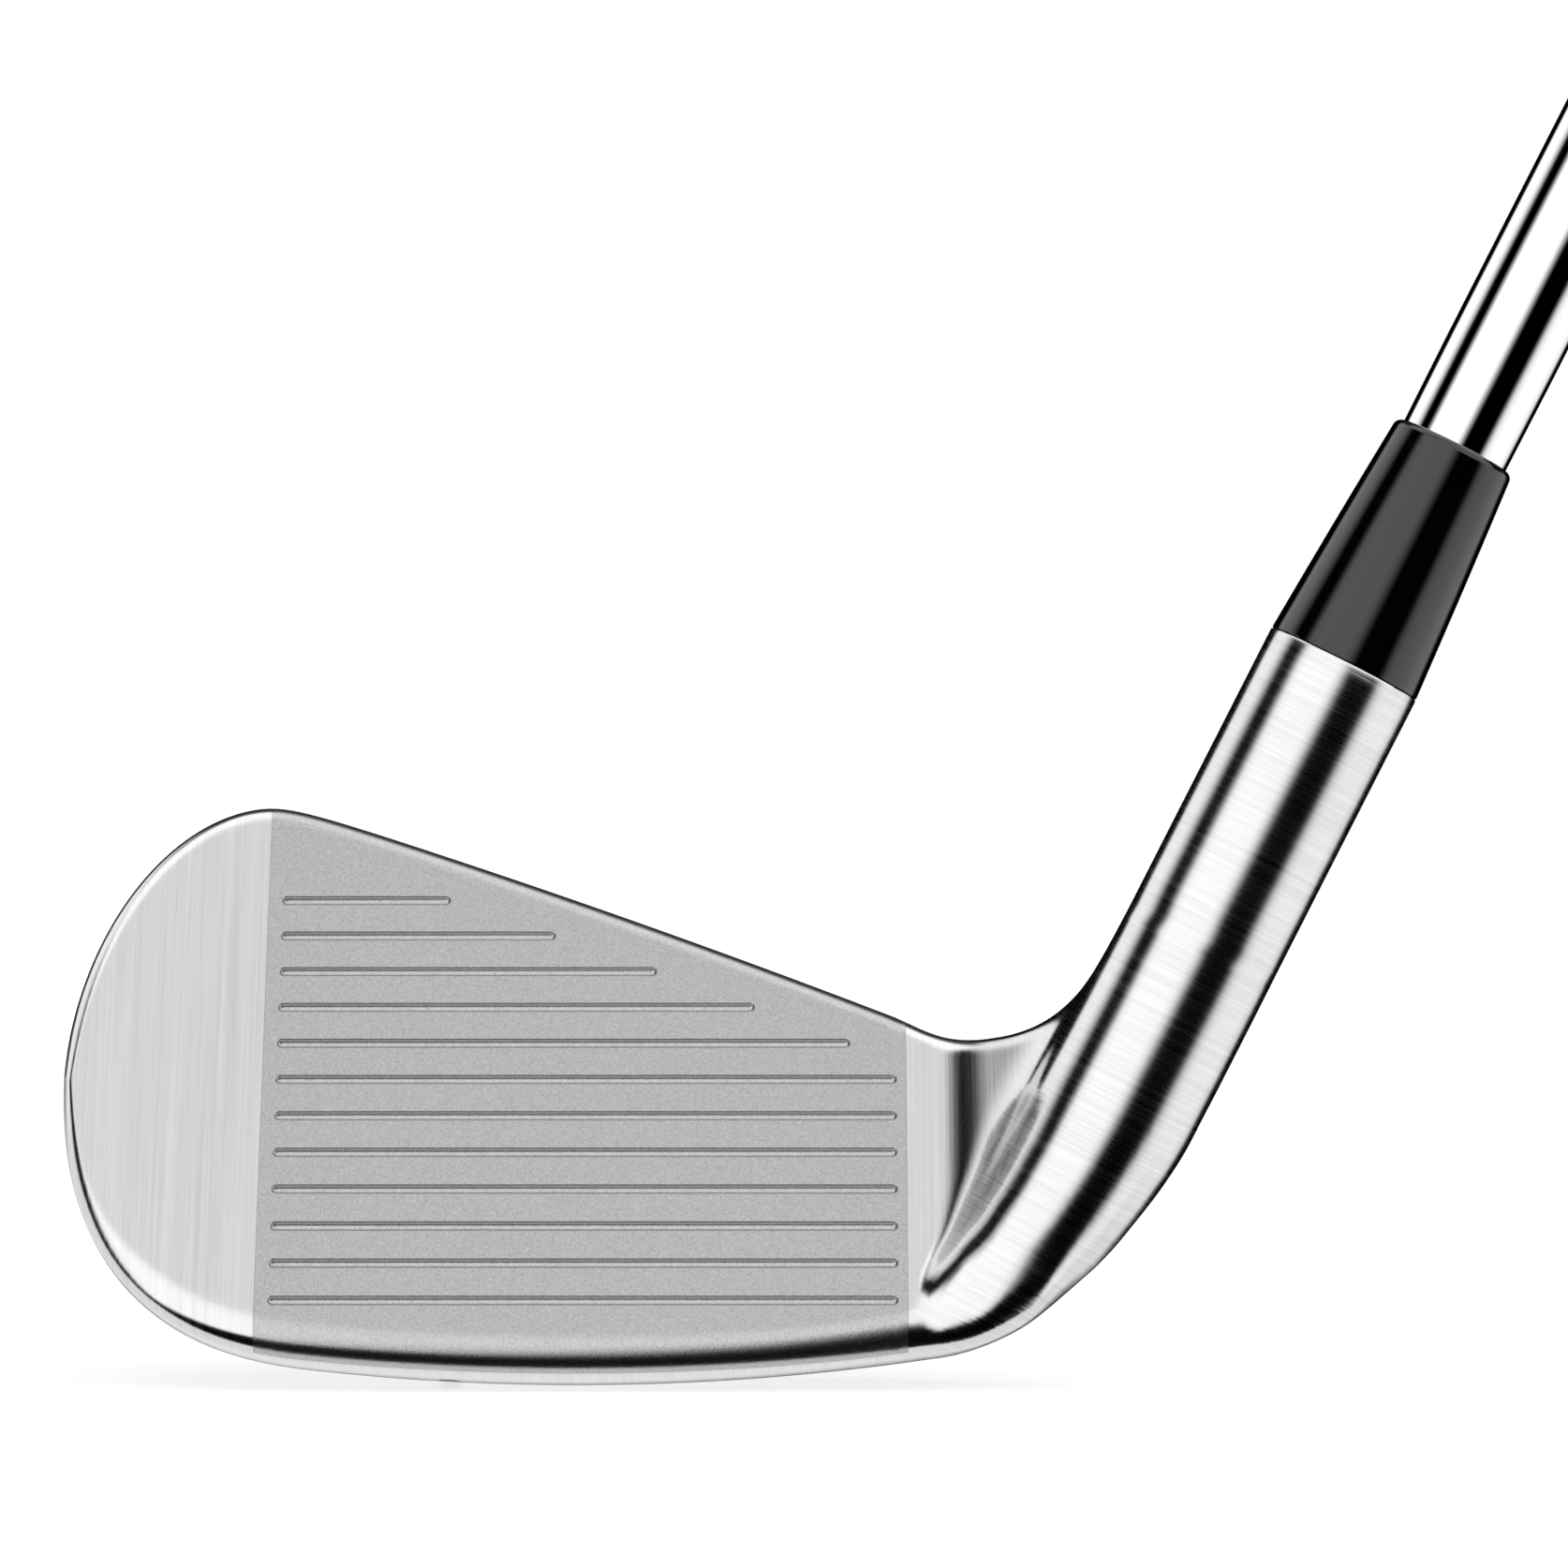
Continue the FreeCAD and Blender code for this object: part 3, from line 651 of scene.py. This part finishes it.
class Tree:
    """A geometry node tree with named inputs and short calls for its nodes."""

    def __init__(self, name, inputs):
        self.tree = bpy.data.node_groups.new(name, "GeometryNodeTree")
        self.tree.interface.new_socket("Geometry", in_out="OUTPUT", socket_type="NodeSocketGeometry")
        for title, (kind, _) in inputs.items():
            self.tree.interface.new_socket(title, in_out="INPUT", socket_type="NodeSocket" + kind)
        self.values = {title: value for title, (_, value) in inputs.items()}
        self.given = self.tree.nodes.new("NodeGroupInput").outputs

    def node(self, kind, inputs=None, **settings):
        made = self.tree.nodes.new(kind)
        for key, value in settings.items():
            setattr(made, key, value)
        for key, value in (inputs or {}).items():
            feed(self.tree, value, made.inputs[key])
        return made.outputs

    def math(self, operation, *values):
        return self.node("ShaderNodeMath", dict(enumerate(values)), operation=operation)[0]

    def result(self, geometry, name):
        """Run the tree on an empty mesh and keep what it makes as a plain mesh."""
        out = self.tree.nodes.new("NodeGroupOutput")
        self.tree.links.new(geometry, out.inputs[0])
        obj = bpy.data.objects.new(name, bpy.data.meshes.new(name))
        bpy.context.scene.collection.objects.link(obj)
        change = obj.modifiers.new("tree", "NODES")
        change.node_group = self.tree
        for item in self.tree.interface.items_tree:
            if item.in_out == "INPUT":
                change[item.identifier] = self.values[item.name]
        bpy.context.view_layer.update()
        shaped = bpy.data.meshes.new_from_object(
            obj.evaluated_get(bpy.context.evaluated_depsgraph_get()))
        obj.modifiers.remove(change)
        obj.data = shaped
        return obj


def make_tread(rubber_finish):
    """Lozenge studs in staggered rings round the grip, left out on its plain bands."""
    t = Tree("grip_tread", {
        "Studs round": ("Int", TREAD_ROUND), "Rows": ("Int", TREAD_ROWS),
        "Row pitch": ("Float", TREAD_PITCH * MM), "First row": ("Float", TREAD_FROM * MM),
        "Mouth": ("Float", GRIP_MOUTH * MM), "Length": ("Float", (BUTT_END - GRIP_MOUTH) * MM),
        "Mouth radius": ("Float", GRIP_MOUTH_RADIUS * MM), "Radius gain": ("Float", GRIP_GAIN * MM),
        "First band": ("Float", GRIP_BANDS[0] * MM), "Last band": ("Float", GRIP_BANDS[-1] * MM),
        "Band pitch": ("Float", (GRIP_BANDS[1] - GRIP_BANDS[0]) * MM),
        "Stud size": ("Vector", tuple(size * MM for size in STUD)), "Finish": ("Material", rubber_finish)})
    given = t.given
    index = t.node("GeometryNodeInputIndex")[0]
    row = t.math("FLOOR", t.math("DIVIDE", t.math("ADD", index, 0.5), given["Studs round"]))
    place = t.math("SUBTRACT", index, t.math("MULTIPLY", row, given["Studs round"]))
    stagger = t.math("MULTIPLY", t.math("MODULO", row, 2.0), 0.5)
    turn = t.math("DIVIDE", t.math("ADD", place, stagger), given["Studs round"])
    angle = t.math("MULTIPLY", turn, 2 * math.pi)
    along = t.math("ADD", given["First row"], t.math("MULTIPLY", row, given["Row pitch"]))
    share = t.math("DIVIDE", t.math("SUBTRACT", along, given["Mouth"]), given["Length"])
    late = t.math("MULTIPLY", t.math("POWER", share, 3.0), 0.25)
    flare = t.math("ADD", t.math("MULTIPLY", share, 0.75), late)
    radius = t.math("ADD", given["Mouth radius"], t.math("MULTIPLY", given["Radius gain"], flare))
    radius = t.math("SUBTRACT", radius, 0.12 * MM)
    outward = t.node("ShaderNodeCombineXYZ", {0: t.math("COSINE", angle), 1: t.math("SINE", angle)})[0]
    ring = t.node("ShaderNodeVectorMath", {0: outward, "Scale": radius}, operation="SCALE")[0]
    lift = t.node("ShaderNodeCombineXYZ", {2: along})[0]
    spot = t.node("ShaderNodeVectorMath", {0: ring, 1: lift}, operation="ADD")[0]
    band = t.math("SUBTRACT", along, given["First band"])
    band = t.math("ROUND", t.math("DIVIDE", band, given["Band pitch"]))
    band = t.math("MINIMUM", band, len(GRIP_BANDS) - 1)
    nearest = t.math("ADD", given["First band"], t.math("MULTIPLY", band, given["Band pitch"]))
    clear = t.math("GREATER_THAN", t.math("ABSOLUTE", t.math("SUBTRACT", along, nearest)), 3.6 * MM)
    count = t.math("MULTIPLY", given["Studs round"], given["Rows"])
    points = t.node("GeometryNodePoints", {"Count": count, "Position": spot})[0]
    stud = t.node("GeometryNodeMeshCone", {
        "Vertices": 4, "Side Segments": 1, "Radius Top": 0.30, "Radius Bottom": 0.5, "Depth": 1.0})["Mesh"]
    upright = t.node("FunctionNodeAlignRotationToVector", {"Vector": outward}, axis="Z")[0]
    lengthwise = t.node("FunctionNodeAlignRotationToVector", {
        "Rotation": upright, "Vector": (0.0, 0.0, 1.0)}, axis="X", pivot_axis="Z")[0]
    studs = t.node("GeometryNodeInstanceOnPoints", {
        "Points": points, "Selection": clear, "Instance": stud, "Rotation": lengthwise,
        "Scale": given["Stud size"]})[0]
    placed = t.node("GeometryNodeTransform", {
        "Geometry": studs, "Translation": tuple(SHAFT_FOOT * MM),
        "Rotation": (0.0, math.pi / 2 - LIE, 0.0)})[0]
    real = t.node("GeometryNodeRealizeInstances", {"Geometry": placed})[0]
    done = t.node("GeometryNodeSetMaterial", {"Geometry": real, "Material": given["Finish"]})[0]
    return t.result(done, "grip_tread")


def make_cap():
    """The grip's end, with a dished face and its vent hole."""
    end, vent = CLUB_LENGTH, VENT
    outer = [(vent, BUTT_END), (12.9, BUTT_END), (13.25, BUTT_END + 0.35), (CAP_RADIUS, BUTT_END + 1.2)]
    outer += quarter(CAP_RADIUS, end, CAP_ROUND)
    dish = [(9.6, end), (9.3, end - 0.25), (8.9, end - 0.35), (3.4, end - 0.35), (3.1, end - 0.25),
            (2.8, end), (vent + 0.25, end), (vent, end - 0.25)]
    return turned("grip_end", outer + dish, 96)


def make_band():
    """The film wrapped round the shaft below the grip."""
    start = BAND_START
    end = start + BAND_LENGTH
    radius = shaft_radius(start) + BAND_THICKNESS
    inside = shaft_radius(start) + 0.005
    outer = [(inside, start), (radius - 0.03, start), (radius, start + 0.05), (radius, end - 0.05),
             (radius - 0.03, end), (inside, end)]
    return turned("film_band", outer)


def make_badge():
    """The plain plate in the cavity, with a bevelled edge and a sunk middle."""
    low, high = 3.52, 4.40
    plain = [(-0.30, low), (-0.30, high - 0.25), (-0.37, high - 0.08), (-0.55, high), (-1.5, high),
             (-1.62, high - 0.06), (-1.75, high - 0.18), (-1.9, high - 0.22)]
    loops = [[(x, t, depth) for x, t in rounded(CAVITY, CAVITY_ROUND, grow)] for grow, depth in plain]
    return piece("badge_plate", *flat_loops(loops))


# ---------------------------------------------------------------- materials

class Finish:
    """A material's node tree with short calls for its parts."""

    def __init__(self, name, colour, metal, rough, ior=1.5):
        self.material = bpy.data.materials.new(name)
        self.material.use_nodes = True
        self.tree = self.material.node_tree
        self.shader = self.tree.nodes["Principled BSDF"]
        self.shader.inputs["Base Color"].default_value = (*colour, 1)
        self.shader.inputs["Metallic"].default_value = metal
        self.shader.inputs["Roughness"].default_value = rough
        self.shader.inputs["IOR"].default_value = ior
        self.material.diffuse_color = (*colour, 1)
        self.where = self.node("ShaderNodeTexCoord").outputs["Object"]

    def node(self, kind, **settings):
        made = self.tree.nodes.new(kind)
        for key, value in settings.items():
            setattr(made, key, value)
        return made

    def join(self, value, socket):
        feed(self.tree, value, socket)

    def math(self, operation, *values, clamp=False):
        made = self.node("ShaderNodeMath", operation=operation, use_clamp=clamp)
        for value, socket in zip(values, made.inputs):
            self.join(value, socket)
        return made.outputs[0]

    def axis(self, name):
        split = self.node("ShaderNodeSeparateXYZ")
        self.join(self.where, split.inputs[0])
        return split.outputs[name]

    def mapped(self, scale, turn=(0, 0, 0)):
        """Object coordinates turned and then stretched."""
        made = self.node("ShaderNodeMapping", vector_type="TEXTURE")
        self.join(self.where, made.inputs["Vector"])
        made.inputs["Rotation"].default_value = turn
        wide = self.node("ShaderNodeVectorMath", operation="MULTIPLY")
        self.join(made.outputs[0], wide.inputs[0])
        wide.inputs[1].default_value = scale
        return wide.outputs[0]

    def noise(self, where, scale=1.0, detail=3.0, rough=0.5):
        made = self.node("ShaderNodeTexNoise")
        self.join(where, made.inputs["Vector"])
        made.inputs["Scale"].default_value = scale
        made.inputs["Detail"].default_value = detail
        made.inputs["Roughness"].default_value = rough
        return made.outputs["Fac"]

    def ramp(self, value, stops):
        """Value through straight runs between (at, grey or colour) stops."""
        made = self.node("ShaderNodeValToRGB")
        self.join(value, made.inputs[0])
        band = made.color_ramp
        while len(band.elements) < len(stops):
            band.elements.new(0.5)
        for element, (at, grey) in zip(band.elements, stops):
            element.position = at
            element.color = (*grey, 1) if isinstance(grey, tuple) else (grey, grey, grey, 1)
        return made.outputs["Color"]

    def spread(self, value, low, high):
        """A 0..1 value spread evenly from low to high."""
        return self.math("ADD", self.math("MULTIPLY", value, high - low), low)

    def within(self, value, low, high, soft):
        """1 between low and high, easing off over soft."""
        made = self.node("ShaderNodeMapRange", interpolation_type="SMOOTHSTEP")
        self.join(value, made.inputs["Value"])
        for socket, number in zip(("From Min", "From Max"), (low - soft, low)):
            made.inputs[socket].default_value = number
        fall = self.node("ShaderNodeMapRange", interpolation_type="SMOOTHSTEP")
        self.join(value, fall.inputs["Value"])
        for socket, number in zip(("From Min", "From Max"), (high, high + soft)):
            fall.inputs[socket].default_value = number
        return self.math("SUBTRACT", made.outputs[0], fall.outputs[0], clamp=True)

    def mix(self, share, a, b):
        made = self.node("ShaderNodeMix", data_type="RGBA")
        self.join(share, made.inputs[0])
        for value, socket in ((a, made.inputs[6]), (b, made.inputs[7])):
            self.join((*value, 1) if isinstance(value, tuple) else value, socket)
        return made.outputs[2]

    def blend(self, share, a, b):
        """A number from a to b."""
        made = self.node("ShaderNodeMix", data_type="FLOAT")
        for value, socket in zip((share, a, b), (made.inputs[0], made.inputs[2], made.inputs[3])):
            self.join(value, socket)
        return made.outputs[0]

    def colour(self, value):
        self.join(value, self.shader.inputs["Base Color"])

    def roughness(self, value):
        self.join(value, self.shader.inputs["Roughness"])

    def bump(self, height, distance, strength=1.0):
        made = self.node("ShaderNodeBump")
        self.join(height, made.inputs["Height"])
        made.inputs["Distance"].default_value = distance
        made.inputs["Strength"].default_value = strength
        self.join(made.outputs[0], self.shader.inputs["Normal"])


def satin_steel():
    """Brushed steel: fine upright lines on the blade, and lines round the hosel."""
    f = Finish("satin_steel", (0.86, 0.865, 0.87), 1.0, 0.2)
    fine = f.noise(f.mapped((3600, 70, 45), (-LOFT, 0, 0)), detail=3, rough=0.6)
    broad = f.noise(f.mapped((1100, 22, 14), (-LOFT, 0, 0)), detail=2)
    lines = f.math("ADD", f.math("MULTIPLY", fine, 0.6), f.math("MULTIPLY", broad, 0.4))
    round_lines = f.noise(f.mapped((60, 60, 3600), (0, math.pi / 2 - LIE, 0)), detail=3, rough=0.6)
    right = f.math("MULTIPLY", f.axis("X"), math.sin(LIE))
    beyond = f.math("SUBTRACT", right, f.math("MULTIPLY", f.axis("Z"), math.cos(LIE)))
    on_hosel = f.within(beyond, 0.0228, 1.0, 0.002)
    grain = f.blend(on_hosel, lines, round_lines)
    f.roughness(f.spread(grain, 0.08, 0.21))
    f.colour(f.ramp(grain, [(0.30, (0.67, 0.674, 0.68)), (0.70, (0.80, 0.803, 0.806))]))
    f.bump(grain, 0.00003, 0.45)
    return f.material


def blasted_steel():
    """The hitting area: an even, fine matt grain."""
    f = Finish("blasted_steel", (0.68, 0.685, 0.69), 1.0, 0.42)
    fine = f.noise(f.where, scale=6400, detail=2, rough=0.6)
    pits = f.noise(f.where, scale=3200, detail=2, rough=0.5)
    grain = f.math("ADD", f.math("MULTIPLY", fine, 0.7), f.math("MULTIPLY", pits, 0.3))
    f.roughness(f.spread(fine, 0.18, 0.28))
    f.colour(f.ramp(grain, [(0.30, (0.40, 0.404, 0.408)), (0.70, (0.575, 0.579, 0.583))]))
    f.bump(grain, 0.00004, 0.3)
    return f.material


def chrome():
    """Bright plating with a very light haze."""
    f = Finish("chrome_shaft", (0.93, 0.93, 0.935), 1.0, 0.03)
    haze = f.noise(f.mapped((200, 200, 60), (0, math.pi / 2 - LIE, 0)), detail=3)
    f.roughness(f.spread(haze, 0.015, 0.05))
    f.bump(haze, 0.00001, 0.05)
    return f.material


def ferrule_black():
    """Glossy black plastic."""
    f = Finish("ferrule_plastic", (0.001, 0.001, 0.001), 0.0, 0.04, 1.68)
    haze = f.noise(f.where, scale=400, detail=3)
    f.roughness(f.spread(haze, 0.02, 0.06))
    f.colour(f.ramp(haze, [(0.3, 0.0006), (0.7, 0.0014)]))
    f.bump(f.noise(f.where, scale=900, detail=2), 0.000005, 0.1)
    return f.material


def rubber(name, dark, light, rough):
    """Matt rubber with a fine speck and broad wear."""
    f = Finish(name, light, 0.0, rough)
    speck = f.noise(f.where, scale=2600, detail=4, rough=0.7)
    broad = f.noise(f.where, scale=90, detail=3)
    both = f.math("ADD", f.math("MULTIPLY", speck, 0.6), f.math("MULTIPLY", broad, 0.4))
    f.colour(f.ramp(both, [(0.3, dark), (0.7, light)]))
    f.roughness(f.spread(broad, rough - 0.08, rough + 0.08))
    f.bump(speck, 0.00006, 0.5)
    return f.material


def plain_finish(name, dark, light, rough, metal=0.0, scale=500.0, stretch=(1, 1, 1), depth=0.00003):
    """A grained finish for the pieces that are mostly hidden."""
    f = Finish(name, light, metal, rough)
    grain = f.noise(f.mapped(tuple(scale * v for v in stretch)), detail=4, rough=0.6)
    f.colour(f.ramp(grain, [(0.3, dark), (0.7, light)]))
    f.roughness(f.spread(grain, max(rough - 0.08, 0.02), rough + 0.08))
    f.bump(grain, depth, 0.5)
    return f.material


def band_film():
    """The printed film near the grip: grey with plain stripes round it."""
    f = Finish("band_film", (0.2, 0.2, 0.22), 0.0, 0.3)
    along = f.node("ShaderNodeVectorMath", operation="DOT_PRODUCT")
    f.join(f.where, along.inputs[0])
    along.inputs[1].default_value = tuple(SHAFT_WAY)
    start = float(SHAFT_FOOT @ SHAFT_WAY) + BAND_START
    place = f.math("SUBTRACT", along.outputs["Value"], start * MM)
    stripes = f.within(place, 0.003, 0.006, 0.00005)
    second = f.within(place, 0.016, 0.019, 0.00005)
    marks = f.math("ADD", stripes, second, clamp=True)
    fleck = f.noise(f.where, scale=3000, detail=2)
    ground = f.ramp(fleck, [(0.3, (0.04, 0.042, 0.05)), (0.7, (0.055, 0.058, 0.065))])
    f.colour(f.mix(marks, ground, (0.62, 0.62, 0.63)))
    f.roughness(f.spread(fleck, 0.22, 0.34))
    f.bump(fleck, 0.00001, 0.3)
    return f.material


# ---------------------------------------------------------------- studio

def studio_world():
    """Soft light from all round the club: bright panels and dark gaps by direction."""
    world = bpy.data.worlds.new("studio")
    bpy.context.scene.world = world
    world.use_nodes = True
    tree = world.node_tree
    tree.nodes.clear()
    new, link = tree.nodes.new, tree.links.new

    def math_node(operation, *values):
        made = new("ShaderNodeMath")
        made.operation = operation
        for value, socket in zip(values, made.inputs):
            feed(tree, value, socket)
        return made.outputs[0]

    def ramp(degrees, stops):
        """Brightness at an angle from -180 to 180."""
        made = new("ShaderNodeValToRGB")
        link(math_node("DIVIDE", math_node("ADD", degrees, 180.0), 360.0), made.inputs[0])
        band = made.color_ramp
        while len(band.elements) < len(stops):
            band.elements.new(0.5)
        for element, (at, level) in zip(band.elements, stops):
            element.position = (at + 180.0) / 360.0
            element.color = (level, level, level, 1)
        split = new("ShaderNodeSeparateColor")
        link(made.outputs["Color"], split.inputs[0])
        return split.outputs[0]

    way = new("ShaderNodeTexCoord").outputs["Generated"]
    split = new("ShaderNodeSeparateXYZ")
    link(way, split.inputs[0])
    x, y, z = split.outputs
    toward = math_node("MULTIPLY", y, -1.0)
    upright = math_node("MULTIPLY", math_node("ARCTAN2", z, toward), 180 / math.pi)
    side = math_node("SUBTRACT", math_node("MULTIPLY", x, math.sin(LIE)),
                     math_node("MULTIPLY", z, math.cos(LIE)))
    along = math_node("ADD", math_node("MULTIPLY", x, math.cos(LIE)),
                      math_node("MULTIPLY", z, math.sin(LIE)))
    round_way = math_node("MULTIPLY", math_node("ARCTAN2", side, toward), 180 / math.pi)

    def eased(value, low, high):
        made = new("ShaderNodeMapRange")
        made.interpolation_type = "SMOOTHSTEP"
        link(value, made.inputs["Value"])
        made.inputs["From Min"].default_value = low
        made.inputs["From Max"].default_value = high
        return made.outputs[0]

    def between(share, low, high):
        made = new("ShaderNodeMix")
        made.data_type = "FLOAT"
        for value, socket in zip((share, low, high), (made.inputs[0], made.inputs[2], made.inputs[3])):
            feed(tree, value, socket)
        return made.outputs[0]

    level = between(eased(along, *UPRIGHT_FROM), ramp(round_way, SIDE_LIGHT), ramp(upright, UPRIGHT_LIGHT))
    low_front = math_node("MULTIPLY", eased(math_node("MULTIPLY", z, -1.0), *DARK_DOWN),
                          eased(toward, *DARK_AHEAD))
    low_front = math_node("MULTIPLY", low_front, eased(math_node("MULTIPLY", x, -1.0), *DARK_TOEWARD))
    level = between(low_front, level, 0.0)
    behind = math_node("MULTIPLY", eased(math_node("MULTIPLY", along, -1.0), *FLOOR_DOWN),
                       eased(y, *FLOOR_BACK))
    level = between(behind, level, FLOOR_LIGHT)
    light = new("ShaderNodeBackground")
    grey = new("ShaderNodeCombineColor")
    for socket in grey.inputs:
        link(level, socket)
    link(grey.outputs[0], light.inputs["Color"])
    light.inputs["Strength"].default_value = WORLD_STRENGTH
    out = new("ShaderNodeOutputWorld")
    link(light.outputs[0], out.inputs[0])


WORLD_STRENGTH = 1.4
FLOOR_LIGHT = 0.64
FLOOR_GLOW = 0.72
# Between these parts of a direction's length, one kind of light gives way to the next
UPRIGHT_FROM = (0.30, 0.55)
DARK_DOWN, DARK_AHEAD, DARK_TOEWARD = (0.36, 0.56), (-0.08, 0.12), (-0.62, -0.45)
FLOOR_DOWN, FLOOR_BACK = (0.10, 0.35), (-0.12, 0.08)
# Pairs of angle and brightness, where 0 is straight ahead of the face. UPRIGHT_LIGHT is for directions
# up the shaft's way: overhead is 90 and behind the club is 180. SIDE_LIGHT is for the rest, by the
# angle round the shaft: the heel's side is 90 and the toe's side is -90.
UPRIGHT_LIGHT = [(-180, 0.0), (-10, 0.9), (52, 0.86), (60, 0.62), (67, 0.62), (77, 0.95), (106, 0.95),
                 (122, 0.05), (180, 0.0)]
SIDE_LIGHT = [(-180, 0.0), (-140, 0.0), (-132, 0.78), (-112, 0.80), (-104, 0.66), (-97, 0.35),
              (-90, 0.02), (-86, 0.0), (-74, 0.0), (-70, 0.12), (-66.7, 0.35), (-62, 0.8), (-52, 0.93),
              (-8, 0.9), (0, 0.67), (5.7, 0.27), (11, 0.03), (14, 0.0), (49, 0.0), (53.5, 0.086),
              (60, 0.48), (66.7, 0.69), (76, 0.77), (112, 0.77), (128, 0.6), (136, 0.1), (141, 0.0),
              (180, 0.0)]


def make_stage():
    """A pale floor and a pale room round it. Neither shows in the metal."""
    floor_mesh = bpy.data.meshes.new("floor")
    reach = 6.0
    corners = [(-reach, -reach, 0), (reach, -reach, 0), (reach, reach, 0), (-reach, reach, 0)]
    floor_mesh.from_pydata(corners, [], [(0, 1, 2, 3)])
    floor = bpy.data.objects.new("floor", floor_mesh)
    room_mesh = bpy.data.meshes.new("room")
    work = bmesh.new()
    bmesh.ops.create_uvsphere(work, u_segments=48, v_segments=24, radius=9.0)
    bmesh.ops.reverse_faces(work, faces=work.faces)
    work.to_mesh(room_mesh)
    work.free()
    room = bpy.data.objects.new("room", room_mesh)
    for obj in (floor, room):
        bpy.context.scene.collection.objects.link(obj)
        obj.visible_glossy = False
        obj.visible_diffuse = False
        obj.visible_transmission = False
        obj.visible_shadow = False
    white = bpy.data.materials.new("pale_room")
    white.use_nodes = True
    shader = white.node_tree.nodes["Principled BSDF"]
    shader.inputs["Base Color"].default_value = (0, 0, 0, 1)
    shader.inputs["Specular IOR Level"].default_value = 0.0
    shader.inputs["Emission Color"].default_value = (1, 1, 1, 1)
    shader.inputs["Emission Strength"].default_value = 1.0
    room_mesh.materials.append(white)
    pale = bpy.data.materials.new("pale_floor")
    pale.use_nodes = True
    shader = pale.node_tree.nodes["Principled BSDF"]
    shader.inputs["Base Color"].default_value = (0.45, 0.45, 0.45, 1)
    shader.inputs["Roughness"].default_value = 0.9
    shader.inputs["Specular IOR Level"].default_value = 0.0
    shader.inputs["Emission Color"].default_value = (1, 1, 1, 1)
    shader.inputs["Emission Strength"].default_value = FLOOR_GLOW
    floor_mesh.materials.append(pale)


FRAME = 1674.0
FOCAL_IN_FRAME = 8800.0
CAMERA_AT = (17.6, -704.5, 51.3)


def make_camera():
    """Square to the target line, level, with a long lens."""
    sensor = 36.0
    focal = FOCAL_IN_FRAME / FRAME * sensor
    data = bpy.data.cameras.new("camera")
    data.sensor_width = sensor
    data.lens = focal
    data.clip_start = 0.01
    camera = bpy.data.objects.new("camera", data)
    bpy.context.scene.collection.objects.link(camera)
    camera.location = tuple(place * MM for place in CAMERA_AT)
    camera.rotation_euler = (math.pi / 2, 0, 0)
    bpy.context.scene.camera = camera


# ---------------------------------------------------------------- put together

bpy.context.scene.view_settings.view_transform = "Standard"
make_camera()
make_stage()
studio_world()

head, plate = make_head()
MATERIALS = {
    "satin_steel": satin_steel(),
    "blasted_steel": blasted_steel(),
    "chrome_shaft": chrome(),
    "ferrule_plastic": ferrule_black(),
    "grip_rubber": rubber("grip_rubber", (0.012, 0.012, 0.013), (0.03, 0.03, 0.031), 0.62),
    "cap_rubber": rubber("cap_rubber", (0.010, 0.010, 0.011), (0.024, 0.024, 0.025), 0.5),
    "band_film": band_film(),
    "badge_plate": plain_finish("badge_plate", (0.10, 0.10, 0.11), (0.16, 0.16, 0.17), 0.3, 1.0, 900,
                                (6, 1, 1)),
    "mark_paint": plain_finish("mark_paint", (0.008, 0.008, 0.009), (0.02, 0.02, 0.02), 0.4, 0.0, 3000),
    "tungsten": plain_finish("tungsten", (0.16, 0.16, 0.17), (0.26, 0.26, 0.27), 0.4, 1.0, 1500),
    "damper": plain_finish("damper", (0.05, 0.05, 0.055), (0.08, 0.08, 0.085), 0.7, 0.0, 800),
    "mounting_tape": plain_finish("mounting_tape", (0.5, 0.5, 0.48), (0.6, 0.6, 0.57), 0.8, 0.0, 2000),
    "epoxy": plain_finish("epoxy", (0.42, 0.36, 0.2), (0.5, 0.43, 0.26), 0.3, 0.0, 600),
    "tip_brass": plain_finish("tip_brass", (0.55, 0.38, 0.14), (0.7, 0.5, 0.2), 0.3, 1.0, 1200),
    "cork": plain_finish("cork", (0.28, 0.16, 0.08), (0.5, 0.33, 0.19), 0.85, 0.0, 1500, depth=0.0002),
    "tape_paper": plain_finish("tape_paper", (0.62, 0.6, 0.55), (0.72, 0.7, 0.65), 0.8, 0.0, 2500),
}

MADE = [
    (head, "satin_steel", "head_body"),
    (plate, "blasted_steel", "face_plate"),
    (make_ferrule(), "ferrule_plastic", "ferrule"),
    (make_shaft(), "chrome_shaft", "shaft"),
    (make_band(), "band_film", "shaft_band"),
    (make_badge(), "badge_plate", "badge"),
    (make_grip(), "grip_rubber", "grip"),
    (make_tread(MATERIALS["grip_rubber"]), "grip_rubber", None),
    (make_cap(), "cap_rubber", "grip_cap"),
]
for obj, finish, node in MADE:
    obj.data.materials.clear()
    obj.data.materials.append(MATERIALS[finish])
    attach(obj, "root")
    if node:
        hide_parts(node)

KEPT = {
    "sole_mark_fill": "mark_paint", "toe_weight": "tungsten", "damper_core": "damper",
    "badge_tape": "mounting_tape", "hosel_epoxy": "epoxy", "tip_weight": "tip_brass",
    "tip_cork": "cork", "grip_tape": "tape_paper",
}
for node, finish in KEPT.items():
    slots = NODES[node].data.materials
    slots.clear()
    slots.append(MATERIALS[finish])
